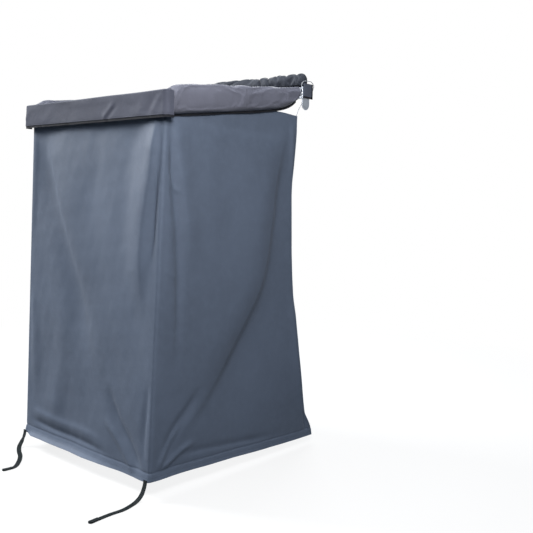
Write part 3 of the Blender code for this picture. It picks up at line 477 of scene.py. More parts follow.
def recalculate_sheet(obj, way):
    """Turn an open sheet's faces so that most of them point one way."""
    recalculate(obj)
    total = sum((face.normal * face.area for face in obj.data.polygons), Vector())
    if total.dot(Vector(way)) < 0:
        edit(obj, bpy.ops.mesh.flip_normals)


def merge(obj):
    """Join points that lie together."""
    return edit(obj, bpy.ops.mesh.remove_doubles, threshold=MERGE_DISTANCE)


def coordinates(obj):
    """A mesh's points as an array."""
    points = np.zeros(len(obj.data.vertices) * 3)
    obj.data.vertices.foreach_get("co", points)
    return points.reshape(-1, 3)


def set_coordinates(obj, points):
    """Move a mesh's points."""
    obj.data.vertices.foreach_set("co", np.ascontiguousarray(points, np.float64).ravel())
    obj.data.update()


def sheet(name, columns, rows, place, size):
    """A grid laid out by place(across, down), with its UV map in metres."""
    deselect()
    bpy.ops.mesh.primitive_grid_add(x_subdivisions=columns, y_subdivisions=rows, size=1)
    obj = bpy.context.object
    obj.name = name
    flat = coordinates(obj)
    across, down = flat[:, 0] + 0.5, 0.5 - flat[:, 1]
    set_coordinates(obj, np.stack(np.broadcast_arrays(*place(across, down)), axis=1))
    corner = np.zeros(len(obj.data.loops), np.int32)
    obj.data.loops.foreach_get("vertex_index", corner)
    uv = np.stack((across * size[0], (1 - down) * size[1]), axis=1)[corner]
    obj.data.uv_layers.active.data.foreach_set("uv", uv.astype(np.float32).ravel())
    return obj


def thicken(obj, thickness, offset=0.0):
    """Give a sheet its thickness as a closed mesh."""
    solid = obj.modifiers.new("thickness", "SOLIDIFY")
    solid.thickness = thickness
    solid.offset = offset
    apply_modifiers(obj)
    return recalculate(obj)


# How the padded pieces' cloth behaves while it swells.
PADDED_CLOTH = {
    "quality": 4,
    "mass": 0.12,
    "tension_stiffness": 12,
    "compression_stiffness": 12,
    "shear_stiffness": 4,
    "bending_stiffness": 0.3,
    "tension_damping": 12,
    "compression_damping": 12,
    "use_pressure": True,
}


def puff(obj, held, pressure, slack, reach, frames):
    """Swell and wrinkle a padded piece as cloth.

    Held is each point's share of being kept in place, slack is the spare cloth, and no point moves
    further than reach.
    """
    before = coordinates(obj)
    group = obj.vertex_groups.new(name="held")
    for index in np.flatnonzero(held > 0.01):
        group.add([int(index)], float(held[index]), "REPLACE")
    cloth = obj.modifiers.new("cloth", "CLOTH")
    for name, value in PADDED_CLOTH.items():
        setattr(cloth.settings, name, value)
    cloth.settings.uniform_pressure_force = pressure
    cloth.settings.shrink_min = -slack
    cloth.settings.vertex_group_mass = group.name
    cloth.settings.effector_weights.gravity = 0
    cloth.point_cache.frame_end = frames
    for step in range(1, frames + 1):
        bpy.context.scene.frame_set(step)
    apply_modifiers(obj)
    bpy.context.scene.frame_set(1)
    obj.vertex_groups.clear()
    moved = coordinates(obj) - before
    far = np.maximum(np.linalg.norm(moved, axis=1), 1e-9)[:, None]
    set_coordinates(obj, before + moved * np.minimum(1.0, reach / far))


def flat_band(name, path, width_way, width, thickness):
    """A flat band along a path, its width along width_way, which is one direction or one for each point."""
    last = len(path) - 1
    ways = np.broadcast_to(width_way, path.shape)

    def place(across, down):
        step = np.rint(down * last).astype(int)
        return (path[step] + ways[step] * ((across - 0.5) * width)[:, None]).T

    obj = sheet(name, 4, last, place, (width, path_length(path)))
    turn_uv(obj)
    return thicken(obj, thickness)


def turn_uv(obj):
    """Swap a UV map's two numbers, so that the first runs along the piece."""
    layer = obj.data.uv_layers.active.data
    flat = np.zeros(len(layer) * 2, np.float32)
    layer.foreach_get("uv", flat)
    layer.foreach_set("uv", flat.reshape(-1, 2)[:, ::-1].ravel())


def path_length(points):
    """The length of a line through points."""
    return float(np.linalg.norm(np.diff(points, axis=0), axis=1).sum())


def dress(obj, material, body=None, stands_for=(), degrees=40):
    """Give a piece its material and shading, the body it rides on and the nodes it stands for."""
    obj.data.materials.clear()
    obj.data.materials.append(material)
    choose(obj)
    bpy.ops.object.shade_smooth_by_angle(angle=math.radians(degrees))
    if body:
        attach(obj, body)
    if stands_for:
        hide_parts(*stands_for)


def ripple(first, second, seed, pitch, count=7):
    """Gentle random waves over a surface, about -1 to 1."""
    chance = np.random.RandomState(seed)
    total = np.zeros(np.broadcast(first, second).shape)
    for _ in range(count):
        heading = chance.uniform(0, math.pi)
        wave = pitch * chance.uniform(0.6, 1.7)
        phase = chance.uniform(0, 2 * math.pi)
        run = first * math.cos(heading) + second * math.sin(heading)
        total += np.sin(2 * math.pi * run / wave + phase)
    return total / math.sqrt(count)


def curved(line, steps):
    """A smooth curve through a line's points, with so many steps from each to the next."""
    points = np.array(line, float)
    padded = np.vstack((2 * points[0] - points[1], points, 2 * points[-1] - points[-2]))
    share = (np.arange(steps) / steps)[:, None]
    fine = [
        0.5
        * (
            2 * start
            + (end - before) * share
            + (2 * before - 5 * start + 4 * end - after) * share**2
            + (3 * start - before - 3 * end + after) * share**3
        )
        for before, start, end, after in zip(padded, padded[1:], padded[2:], padded[3:])
    ]
    return np.vstack((*fine, points[-1]))


def crease(across, z, line, height, left, right):
    """A fold along a line of (across, z) points, with the half width of its two flanks."""
    points = curved(line, 4)
    runs = np.diff(points, axis=0)
    lengths = np.hypot(runs[:, 0], runs[:, 1])
    nearest = np.full(across.shape, 1e9)
    flank = np.zeros(across.shape)
    along = np.zeros(across.shape)
    walked = 0.0
    for start, run, length in zip(points, runs, lengths):
        off_across, off_z = across - start[0], z - start[1]
        share = np.clip((off_across * run[0] + off_z * run[1]) / length**2, 0, 1)
        distance = np.hypot(off_across - share * run[0], off_z - share * run[1])
        closer = distance < nearest
        nearest = np.where(closer, distance, nearest)
        flank = np.where(closer, off_across * run[1] - off_z * run[0], flank)
        along = np.where(closer, walked + share * length, along)
        walked += length
    along = along / walked
    width = np.where(flank > 0, left, right)
    ends = smooth(along * 5) * smooth((1 - along) * 3)
    return height * ends * np.exp(-((nearest / width) ** 2))


# Folds of each wall: a line of (y, z) or (x, z) points, the height outwards, and the half widths of
# the flank on its left and on its right as it is seen from outside.
FRONT_FOLDS = (
    (((-0.990, -0.190), (-0.945, -0.440), (-0.890, -0.700), (-0.845, -1.000)), 0.015, 0.030, 0.075),
    (((-1.020, -0.220), (-0.985, -0.500), (-0.950, -0.800), (-0.935, -1.100), (-0.945, -1.500)),
     -0.015, 0.026, 0.030),
    (((-1.026, -0.505), (-0.981, -0.565), (-0.930, -0.600)), 0.006, 0.010, 0.014),
    (((-1.040, -0.962), (-0.985, -0.995), (-0.930, -1.010)), 0.002, 0.012, 0.016),
    (((-0.140, -0.140), (-0.203, -0.446), (-0.257, -0.808), (-0.316, -1.056), (-0.447, -1.266),
      (-0.596, -1.465), (-0.740, -1.629), (-0.877, -1.759), (-1.030, -1.930)), 0.013, 0.200, 0.034),
    (((-0.105, -0.200), (-0.145, -0.560), (-0.190, -0.900), (-0.260, -1.150), (-0.400, -1.350),
      (-0.565, -1.545), (-0.750, -1.720), (-0.900, -1.850)), -0.032, 0.112, 0.235),
    (((-1.039, -1.896), (-0.963, -1.770), (-0.837, -1.643), (-0.769, -1.545)), -0.009, 0.036, 0.024),
    (((-1.075, -1.960), (-1.000, -1.840), (-0.900, -1.720)), 0.007, 0.014, 0.016),
    (((-1.060, -1.955), (-0.985, -1.920), (-0.900, -1.880), (-0.800, -1.850)), 0.008, 0.012, 0.018),
    (((-0.960, -1.905), (-0.770, -1.910), (-0.466, -1.938), (-0.126, -1.962)), -0.005, 0.016, 0.020),
    (((-0.640, -0.170), (-0.600, -0.600), (-0.620, -1.100)), -0.006, 0.090, 0.100),
    (((-0.870, -0.215), (-0.589, -0.245), (-0.300, -0.248), (-0.101, -0.240)), -0.005, 0.030, 0.050),
    (((-0.105, -0.150), (-0.085, -0.300), (-0.060, -0.520)), 0.007, 0.020, 0.016),
    (((-0.030, -1.150), (0.020, -1.600), (0.060, -1.900)), 0.010, 0.040, 0.030),
    (((0.075, -1.870), (0.090, -1.950), (0.100, -2.030)), -0.010, 0.010, 0.012),
)
REAR_FOLDS = (
    (((-0.960, -0.220), (-0.900, -0.600), (-0.840, -0.950)), 0.011, 0.045, 0.025),
    (((-0.975, -0.260), (-0.930, -0.620), (-0.900, -0.900)), -0.012, 0.022, 0.030),
    (((-0.140, -0.200), (-0.260, -0.800), (-0.420, -1.300), (-0.740, -1.660), (-0.980, -1.880)),
     0.009, 0.045, 0.110),
    (((-0.100, -0.280), (-0.180, -0.950), (-0.420, -1.500), (-0.840, -1.840)), -0.024, 0.100, 0.050),
    (((-0.640, -1.250), (-0.680, -1.600), (-0.720, -1.980)), 0.008, 0.050, 0.050),
    (((-0.400, -0.180), (-0.360, -0.700), (-0.380, -1.200)), -0.008, 0.070, 0.070),
    (((-0.960, -1.890), (-0.700, -1.905), (-0.400, -1.940)), -0.005, 0.020, 0.018),
)
OUTER_FOLDS = (
    (((-0.530, -0.190), (-0.415, -0.477), (-0.326, -0.698), (-0.210, -0.924), (-0.116, -1.124),
      (-0.023, -1.330), (0.090, -1.560)), -0.024, 0.090, 0.070),
    (((-0.440, -0.240), (-0.270, -0.600), (-0.130, -0.900), (0.0, -1.160)), 0.014, 0.070, 0.180),
    (((0.548, -0.180), (0.520, -0.420), (0.474, -0.605), (0.450, -0.742), (0.440, -0.923),
      (0.442, -1.080), (0.448, -1.220)), 0.024, 0.090, 0.034),
    (((0.548, -0.300), (0.527, -0.560), (0.512, -0.800), (0.508, -1.020)), -0.012, 0.026, 0.026),
    (((0.069, -0.180), (0.045, -0.429), (0.021, -0.700)), -0.005, 0.060, 0.060),
    (((0.350, -0.200), (0.300, -0.560), (0.290, -0.950)), -0.008, 0.080, 0.060),
    (((0.522, -1.984), (0.423, -1.861), (0.330, -1.770), (0.268, -1.690), (0.200, -1.560)),
     -0.013, 0.024, 0.036),
    (((0.460, -1.990), (0.330, -1.860), (0.180, -1.740)), 0.009, 0.024, 0.020),
    (((0.560, -1.500), (0.520, -1.750), (0.535, -1.960)), -0.007, 0.026, 0.018),
    (((-0.545, -1.850), (-0.196, -1.868), (0.080, -1.868), (0.240, -1.900)), 0.006, 0.030, 0.020),
    (((-0.540, -1.905), (-0.250, -1.922), (0.060, -1.925), (0.300, -1.945)), -0.007, 0.016, 0.018),
    (((-0.300, -1.900), (-0.220, -1.550), (-0.240, -1.150)), 0.007, 0.070, 0.080),
    (((-0.560, -1.100), (-0.500, -1.400), (-0.470, -1.800)), 0.008, 0.040, 0.050),
)


def fold_depth(folds, across, z, seed):
    """How far the folds push a wall out at a place on it."""
    total = ripple(across, z * 0.45, seed, 0.34) * 0.0024 + ripple(across, z * 0.7, seed + 1, 0.11) * 0.0004
    for line, height, left, right in folds:
        total = total + crease(across, z, line, height, left, right)
    return total * bpy.context.scene.tent_sizes.fold_depth


def flare_share(z):
    """0 above the flare and 1 at the hem."""
    return np.clip((FLARE_TOP_Z - z) / (FLARE_TOP_Z - HEM_Z), 0.0, 1.0)


def hem_push(above_foot, curl):
    """How far a turned hem stands out: pinched at its stitches, puffed between, and curled out below."""
    height = bpy.context.scene.tent_sizes.hem_height
    share = np.clip(1 - above_foot / height, 0.0, 1.0)
    pinch = HEM_PINCH * np.exp(-(((above_foot - height) / HEM_PINCH_REACH) ** 2))
    return curl * share**2.6 + HEM_PUFF * np.sin(math.pi * share) ** 0.8 - pinch


def side_hem_z(y):
    """The foot of a side wall's hem, level by the corner and lower towards the rail."""
    return HEM_Z - HEM_FALL * smooth((y - OUTER_Y) / (ROOT_Y - OUTER_Y))


def side_edge_x(z):
    """How far out in X the corner's edge stands."""
    return ARM_X + CORNER_PROUD + SIDE_FLARE * flare_share(z) + hem_push(z - HEM_Z, CORNER_CURL)


def outer_plain_y(x, z):
    """The outer wall's surface without its folds. Its hem curls out most along the rear half."""
    share = (x / ARM_X + 1) / 2
    flare = mix(CORNER_FLARE[-1], CORNER_FLARE[1], share) * flare_share(z)
    curl = OUTER_CURL + OUTER_REAR_CURL * smooth((0.40 - x) / 0.42) * smooth((x + 0.54) / 0.08)
    return OUTER_Y - flare - hem_push(z - HEM_Z, curl)


def outer_y(x, z):
    """The outer wall's surface."""
    fade = smooth((side_edge_x(z) - CORNER_ROUND - np.abs(x)) / CORNER_FADE)
    tucked = smooth((-0.150 - z) / 0.06)
    return outer_plain_y(x, z) - fade * tucked * fold_depth(OUTER_FOLDS, x, z, 11)


def side_x(side, y, z, foot):
    """A side wall's surface, whose hem ends at foot."""
    folds = FRONT_FOLDS if side > 0 else REAR_FOLDS
    from_corner = y - outer_plain_y(side * ARM_X, z) - CORNER_ROUND
    fade = smooth(from_corner / CORNER_FADE)
    top = smooth((side_top(y) - 0.01 - z) / 0.10)
    own = smooth(from_corner / 0.05)
    hem = hem_push(z - foot, SIDE_CURL) * own + hem_push(z - HEM_Z, CORNER_CURL) * (1 - own)
    proud = CORNER_PROUD * (1 - smooth(from_corner / 0.2))
    plain = ARM_X + SIDE_FLARE * flare_share(z) + hem + proud
    return side * (plain + fade * top * fold_depth(folds, y, z, 23 + side))


def side_top(y):
    """A side wall's top edge: hung from the arm, a little lower by its castings, and slack by the rail."""
    out = ROOT_Y - y
    under_arm = out / ARM_REACH * -ARM_FALL - TUBE_HEIGHT / 2 / math.cos(ARM_SLOPE) - FIT
    to_casting = np.minimum(np.abs(out - ARM_REACH), np.abs(out - 2 * ARM_REACH))
    by_casting = np.clip(2 - to_casting / TUBE_SETBACK, 0.0, 1.0)
    dip = EDGE_DIP * np.exp(-((out / EDGE_DIP_REACH) ** 2))
    slack = smooth((SLACK_START - out) / SLACK_LENGTH)
    return mix(under_arm - WALL_DROP * by_casting, WALL_TOP_Z - dip, slack)


def free_edge_y(side, z):
    """A side wall's free edge below the rail, which tucks in, swings out and ends in a loose corner."""
    drop = np.clip((WALL_TOP_Z - z) / (WALL_TOP_Z - HEM_Z), 0.0, 1.0)
    tuck = EDGE_TUCK * (1 - np.exp(-drop / EDGE_TUCK_DEPTH))
    corner = smooth((HEM_Z + LOOSE_CORNER_HEIGHT - z) / LOOSE_CORNER_HEIGHT)
    return ROOT_Y + EDGE_LEAD - tuck + EDGE_SWING * drop**3 + LOOSE_CORNER[side] * corner


def corner_skin(side, share, z):
    """The skin round an outer corner: share runs from the side wall's join to the outer wall's."""
    edge = side_edge_x(z)
    turn_y = outer_plain_y(side * ARM_X, z) + CORNER_ROUND
    turn_x = edge - CORNER_ROUND
    first = SIDE_JOIN_Y - turn_y
    arc = CORNER_ROUND * math.pi / 2
    last = turn_x - OUTER_JOIN_X
    walked = share * (first + arc + last)
    y_side = SIDE_JOIN_Y - np.minimum(walked, first)
    angle = np.clip((walked - first) / CORNER_ROUND, 0, math.pi / 2)
    x_outer = turn_x - np.clip(walked - first - arc, 0, None)
    on_side, on_arc = walked < first, walked < first + arc
    x_side = np.abs(side_x(side, y_side, z, side_hem_z(SIDE_JOIN_Y)))
    x_round = turn_x + CORNER_ROUND * np.cos(angle)
    y_round = turn_y - CORNER_ROUND * np.sin(angle)
    x = np.where(on_side, x_side, np.where(on_arc, x_round, x_outer))
    y = np.where(on_side, y_side, np.where(on_arc, y_round, outer_y(side * x_outer, z)))
    return side * x, y


def wall_rows(down):
    """Even steps down a wall, closer together at its hem."""
    return np.where(down < 0.9, down / 0.9 * 0.955, 0.955 + (down - 0.9) * 0.45)


def side_wall_place(side):
    """Where a side wall's points lie, from its free edge to the join near the corner."""

    def place(across, down):
        y_top = mix(ROOT_Y + EDGE_LEAD, SIDE_JOIN_Y, across)
        foot = side_hem_z(y_top)
        z = mix(side_top(y_top), foot, wall_rows(down))
        y = mix(free_edge_y(side, z), SIDE_JOIN_Y, across)
        return side_x(side, y, z, foot), y, z

    return place


def corner_place(side):
    """Where the points of a corner strip lie, from the side wall round to the outer wall."""

    def place(across, down):
        turned = smooth(across * 1.5)
        top = mix(side_top(np.array(SIDE_JOIN_Y)), BAR_UNDERSIDE_Z, turned)
        foot = mix(side_hem_z(SIDE_JOIN_Y), HEM_Z, turned)
        z = mix(top, foot, wall_rows(down))
        x, y = corner_skin(side, across, z)
        return x, y, z

    return place


def outer_wall_place(across, down):
    """Where the outer wall's points lie, from rear to front."""
    z = mix(BAR_UNDERSIDE_Z, HEM_Z, wall_rows(down))
    x = mix(-OUTER_JOIN_X, OUTER_JOIN_X, across)
    return x, outer_y(x, z), z


CAMERA_PLACE = (3.324, -3.430, -0.624)
CAMERA_AZIMUTH = math.radians(41.235)
CAMERA_PITCH = math.radians(4.902)
CAMERA_ROLL = math.radians(1.374)
SENSOR_WIDTH = 36
PICTURE_PIXELS = 533
FOCAL_PIXELS = 754.6


class TENT_OT_camera(bpy.types.Operator):
    """Add the camera at the photograph's viewpoint"""

    bl_idname = "tent.camera"
    bl_label = "Camera"

    def execute(self, context):
        data = bpy.data.cameras.new("camera")
        camera = bpy.data.objects.new("camera", data)
        context.scene.collection.objects.link(camera)
        camera.matrix_world = (
            Matrix.Translation(CAMERA_PLACE)
            @ Matrix.Rotation(CAMERA_AZIMUTH, 4, "Z")
            @ Matrix.Rotation(math.pi / 2 - CAMERA_PITCH, 4, "X")
            @ Matrix.Rotation(CAMERA_ROLL, 4, "Z")
        )
        data.sensor_width = SENSOR_WIDTH
        data.lens = FOCAL_PIXELS / PICTURE_PIXELS * SENSOR_WIDTH
        context.scene.camera = camera
        return {"FINISHED"}


FLOOR_SIZE = 60
FLOOR_GAP = 0.0004
FLOOR_BOUNCE = (0.05, 0.06, 0.07)
SKY_TINT = (0.76, 0.87, 1.0, 1.0)
WHITE = (1.0, 1.0, 1.0, 1.0)

# Each lamp's place, what it points at, its size, power and tint.
LAMPS = {
    "outer_lamp": ((-6.5, -3.1, 3.0), (0.0, -1.0, -0.9), 2.6, 920, (0.97, 0.985, 1.0)),
    "front_lamp": ((2.2, -2.1, 0.8), (0.57, -0.8, -0.5), 1.1, 78, (1.0, 0.985, 0.975)),
    "top_lamp": ((0.3, -0.6, 2.3), (0.3, -0.6, 0.0), 1.6, 36, (1.0, 1.0, 1.0)),
    "back_lamp": ((-2.4, 3.4, 2.6), (0.0, -0.4, -0.6), 2.5, 150, (0.98, 0.99, 1.0)),
}


class TENT_OT_stage(bpy.types.Operator):
    """Add the pale floor, the soft lamps and the world's light"""

    bl_idname = "tent.stage"
    bl_label = "Stage"

    def execute(self, context):
        deselect()
        bpy.ops.mesh.primitive_plane_add(size=FLOOR_SIZE, location=(0, 0, GROUND_Z - FLOOR_GAP))
        floor = bpy.context.object
        floor.name = "floor"
        floor.data.materials.append(self.floor_finish(tuple(context.scene.tent_colours.floor)))
        self.light_world(context.scene)
        for name, (place, target, size, power, tint) in LAMPS.items():
            bpy.ops.object.light_add(type="AREA", location=place)
            lamp = bpy.context.object
            lamp.name = name
            lamp.data.shape = "SQUARE"
            lamp.data.size = size
            lamp.data.energy = power
            lamp.data.color = tint
            lamp.visible_camera = False
            lamp.rotation_euler = (Vector(target) - Vector(place)).to_track_quat("-Z", "Y").to_euler()
        context.scene.view_settings.view_transform = "Standard"
        return {"FINISHED"}

    def floor_finish(self, colour):
        """Pale where it is seen, white further out, and dark to the light that it throws back."""
        paint = Finish("floor_finish", 0.9, Specular_IOR_Level=0.1)
        x, y, _ = paint.place().parts()
        seen = paint.seen("Is Glossy Ray")
        pale = paint.blend(paint.noise(3.0, 4, 0.6) * 0.3, colour, shade(colour, 0.96))
        paint.feed("Base Color", paint.blend(seen, FLOOR_BOUNCE, pale))
        glow = paint.node("ShaderNodeEmission", None, {"Color": WHITE, "Strength": 1.0})
        bright = paint.span((x * x + y * y) ** 0.5, 2.2, 4.5, 0.80, 1.0)
        plain = Wire(paint, paint.shader.outputs[0])
        shown = paint.node("ShaderNodeMixShader", None, {0: seen * bright, 1: plain, 2: glow})
        paint.tree.links.new(shown.socket, paint.tree.nodes["Material Output"].inputs["Surface"])
        return paint.material

    def light_world(self, scene):
        """A soft light, stronger from above, that the camera sees as white."""
        scene.world = scene.world or bpy.data.worlds.new("world")
        scene.world.use_nodes = True
        tree = scene.world.node_tree
        tree.nodes.clear()
        sky = Nodes(tree)
        height = sky.node("ShaderNodeTexCoord").parts()[2]
        strength = sky.node("ShaderNodeMapRange", None, {"Value": height, 1: -0.1, 2: 1.0, 3: 0.03, 4: 0.56})
        light = sky.node("ShaderNodeBackground", None, {"Color": SKY_TINT, "Strength": strength})
        white = sky.node("ShaderNodeBackground", None, {"Color": WHITE})
        seen = sky.seen("Is Transmission Ray")
        shown = sky.node("ShaderNodeMixShader", None, {0: seen, 1: light, 2: white})
        tree.links.new(shown.socket, tree.nodes.new("ShaderNodeOutputWorld").inputs["Surface"])


class TENT_OT_walls(bpy.types.Operator):
    """Hang the two side walls, the corner strips and the outer wall"""

    bl_idname = "tent.walls"
    bl_label = "Walls"

    def execute(self, context):
        sizes, colours = context.scene.tent_sizes, context.scene.tent_colours
        height = WALL_TOP_Z - HEM_Z
        colour, seams = tuple(colours.wall), (sizes.hem_height,)
        wall = cloth_finish("wall_cloth", colour, seams=seams, cross_seams=(0.014,))
        strip = cloth_finish("corner_cloth", colour, seams=seams)
        outer = cloth_finish("outer_cloth", colour, seams=seams)
        rows = int(sizes.wall_columns * 1.75)
        for name, side in SIDES.items():
            columns = sizes.wall_columns if side > 0 else int(sizes.wall_columns * 0.7)
            panel = sheet(f"{name}_wall_cloth", columns, rows, side_wall_place(side), (0.95, height))
            thicken(panel, sizes.cloth_thickness)
            dress(panel, wall, stands_for=(f"{name}_inner_wall", f"{name}_outer_wall"))
            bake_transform(panel)
            corner = sheet(f"{name}_corner_cloth", 22, rows, corner_place(side), (0.13, height))
            thicken(corner, sizes.cloth_thickness)
            dress(corner, strip)
            if side > 0:
                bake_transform(corner)
            else:
                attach(corner, "bar")
        panel = sheet("outer_wall_cloth", sizes.wall_columns, rows, outer_wall_place, (1.06, height))
        thicken(panel, sizes.cloth_thickness)
        dress(panel, outer, "bar", ["outer_wall"])
        return {"FINISHED"}


SLEEVE_START_Y = ROOT_Y - 0.014
SLEEVE_END_Y = OUTER_Y + 0.022
SLEEVE_HALF = 0.043
SLEEVE_SWELL = 0.0026
SLEEVE_SHIFT = 0.0055
SLEEVE_LIP = 0.0021
SLEEVE_THICKNESS = 0.0025
SLEEVE_POWER = 1.5
SLEEVE_TAPE_AND_SHADOW_THICKNESS = 0.0012
SLEEVE_CAP_THICKNESS = 0.0008
SLEEVE_RIM_WIDTH = 0.009
SLEEVE_RIM_THICKNESS = 0.0013


def sleeve_section(y):
    """A sleeve's top and bottom along the arms: pinched by the rail, and gathered at its far end."""
    share = (SLEEVE_START_Y - y) / (SLEEVE_START_Y - SLEEVE_END_Y)
    pinch = 0.055 * np.exp(-(SLEEVE_START_Y - y) / 0.07)
    gather = 0.024 * np.clip((SLEEVE_END_Y + 0.075 - y) / 0.075, 0.0, 1.0) ** 1.6
    top = mix(0.026, -0.080, share)
    return top - gather, top - (mix(0.122, 0.143, share) - pinch)


def sleeve_skin(side, around, y, out=0.0):
    """A point on a sleeve: around runs from its outer lip over the top to its inner lip."""
    half = SLEEVE_HALF + SLEEVE_SWELL * np.exp(-(y - SLEEVE_END_Y) / 0.05)
    outer_lip = SLEEVE_SHIFT + SLEEVE_LIP + SLEEVE_THICKNESS / 2
    first = -np.arccos((outer_lip / half) ** SLEEVE_POWER)
    last = 2 * math.pi - np.arccos(((SLEEVE_SHIFT - SLEEVE_LIP) / half) ** SLEEVE_POWER)
    top, bottom = sleeve_section(y)
    angle = mix(first, last, around)
    level, upright = (
        np.sign(part) * np.abs(part) ** (1 / SLEEVE_POWER) for part in (np.cos(angle), np.sin(angle))
    )
    x = ARM_X - SLEEVE_SHIFT + (half + out) * level
    z = (top + bottom) / 2 + ((top - bottom) / 2 + out) * upright
    return side * x, y, z


class TENT_OT_sleeves(bpy.types.Operator):
    """Wrap the padded sleeves round the arms"""

    bl_idname = "tent.sleeves"
    bl_label = "Sleeves"

    def execute(self, context):
        sizes, colours = context.scene.tent_sizes, context.scene.tent_colours
        colour, seams, cross_seams = tuple(colours.sleeve), (0.008,), (0.010,)
        cloth = cloth_finish("sleeve_cloth", colour, 0.5, 0.8, seams, cross_seams, sheen=0.08)
        tape = tape_finish("sleeve_tape_and_shadow", tuple(colours.binding))
        spans = {"inner": (SLEEVE_START_Y, KNEE_Y + FIT), "outer": (KNEE_Y - FIT, SLEEVE_END_Y)}
        for side_name, side in SIDES.items():
            for half, (start, end) in spans.items():
                body, name = f"{side_name}_{half}", f"{side_name}_{half}_sleeve"
                skin = self.skin(f"{name}_cloth", side, start, end)
                dress(skin, cloth, body, [name])
                # The dark strip below each sleeve is partly tape and partly a painted shadow.
                pieces = [skin, self.lower_tape_and_shadow(f"{name}_tape", side, start, end, sizes.tape_and_shadow_drop)]
                dress(pieces[1], tape, body)
                if half == "outer":
                    closing = [self.far_cap(f"{name}_cap", side, end), self.far_rim(f"{name}_rim", side, end)]
                    for piece in closing:
                        dress(piece, cloth, body)
                    pieces += closing
                for piece in pieces:
                    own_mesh(piece)
        return {"FINISHED"}

    def skin(self, name, side, start, end):
        """The padded cloth over an arm, open below."""

        def place(around, along):
            y = mix(start, end, along)
            slack = ripple(y, around * 0.35, 40 + side, 0.16) * 0.0015
            slack = slack + ripple(y * 0.5, around * 0.45, 43 + side, 0.07) * 0.0004
            by_rail = np.exp(-(SLEEVE_START_Y - y) / 0.05)
            by_corner = np.clip(1 - (y - SLEEVE_END_Y) / 0.11, 0.0, 1.0) ** 1.5
            pleat = np.sin(around * 41 + y * 30) * 0.0026 * by_rail
            pleat = pleat + np.sin(around * 27 + np.sin(y * 50)) * 0.0016 * by_corner
            crown = -0.0035 * np.exp(-(((around - 0.36) / 0.09) ** 2)) * smooth((ROOT_Y - y) * 3)
            across_nick = np.exp(-(((y + 0.205 + (around - 0.3) * 0.22) / 0.008) ** 2))
            nick = -0.0045 * across_nick * np.exp(-(((around - 0.36) / 0.10) ** 2))
            lips = smooth(np.minimum(around, 1 - around) * 14)
            return sleeve_skin(side, around, y, (slack + pleat + crown + nick) * lips)

        obj = sheet(name, 84, 120, place, (0.36, 0.46))
        _, flat_y, flat_z = coordinates(obj).T
        _, bottom = sleeve_section(flat_y)
        lips = 1 - smooth((flat_z - bottom - 0.004) / 0.016)
        to_end = np.minimum(np.abs(flat_y - start), np.abs(flat_y - end))
        held = np.clip(lips + 1 - smooth((to_end - 0.002) / 0.012), 0, 1)
        recalculate_sheet(obj, (side, 0, 0))
        puff(obj, held, pressure=1.2, slack=0.010, reach=0.004, frames=14)
        return thicken(obj, SLEEVE_THICKNESS, side)

    def lower_tape_and_shadow(self, name, side, start, end, drop):
        """The dark tape sewn inside the sleeve's outer lip, which shows below it; it is also a painted shadow
        under the sleeve.
        """

        def place(along, down):
            y = mix(start, end, along)
            x, _, z = sleeve_skin(side, np.full_like(y, 0.004), y)
            hang = drop * (1 + 0.8 * np.exp(-(SLEEVE_START_Y - y) / 0.12))
            stray = 0.0008 + 0.0004 * ripple(y, y * 0, 91, 0.2)
            return x + side * stray, y, z + 0.002 - (hang + 0.002) * down

        obj = sheet(name, 110, 4, place, (0.48, drop))
        return thicken(obj, SLEEVE_TAPE_AND_SHADOW_THICKNESS)

    def far_cap(self, name, side, end):
        """The cloth that closes the sleeve's far end, gathered towards the bar."""

        def place(around, inward):
            x, _, z = sleeve_skin(side, around, end, 0.0)
            top, bottom = sleeve_section(end)
            middle_z = bottom + (top - bottom) * 0.42
            share = 0.04 + 0.96 * inward
            pucker = 1 + 0.03 * np.sin(around * 60) * share * (1 - share) * 4
            bulge = 0.0011 * (1 - share**2)
            return (
                mix(side * (ARM_X - SLEEVE_SHIFT), x, share * pucker * 0.985),
                end + 0.0012 - bulge,
                mix(middle_z, z, share * pucker * 0.985),
            )

        obj = sheet(name, 84, 12, place, (0.30, 0.05))
        return thicken(obj, SLEEVE_CAP_THICKNESS)

    def far_rim(self, name, side, end):
        """The turned hem round the sleeve's far edge."""
        around = np.linspace(0.0, 1.0, 97)
        x, _, z = sleeve_skin(side, around, end + 0.004, 0.0006)
        path = np.stack((x, np.full_like(x, end + 0.0045), z), axis=1)
        return flat_band(name, path, (0, 1, 0), SLEEVE_RIM_WIDTH, SLEEVE_RIM_THICKNESS)


VALANCE_END = 0.6096
VALANCE_FACE_Y = -1.069
VALANCE_BACK_Y = -1.021
VALANCE_TOP_Z = -0.1102
VALANCE_FOOT_Z = -0.2272
VALANCE_CORNER = 0.026
VALANCE_EDGE = 0.008
VALANCE_LENGTH = 2 * (VALANCE_END + 0.03)
VALANCE_THICKNESS = 0.0022
VALANCE_TAPE_AND_SHADOW_THICKNESS = 0.0014
VALANCE_FOLDS = (
    (((0.118, -0.232), (0.178, -0.183), (0.228, -0.140)), 0.0048, 0.012, 0.020),
    (((0.150, -0.232), (0.205, -0.185), (0.250, -0.150)), -0.0024, 0.018, 0.034),
    (((0.500, -0.222), (0.540, -0.159), (0.585, -0.120)), 0.0030, 0.020, 0.020),
    (((0.462, -0.232), (0.492, -0.180), (0.520, -0.130)), -0.0026, 0.022, 0.024),
    (((0.400, -0.232), (0.425, -0.180), (0.440, -0.130)), 0.0020, 0.026, 0.026),
    (((0.330, -0.232), (0.345, -0.150)), -0.0020, 0.034, 0.034),
    (((-0.595, -0.200), (-0.542, -0.139)), 0.0024, 0.018, 0.024),
    (((-0.430, -0.232), (-0.350, -0.170), (-0.300, -0.135)), 0.0022, 0.028, 0.036),
    (((-0.200, -0.232), (-0.120, -0.150)), -0.0020, 0.036, 0.036),
)


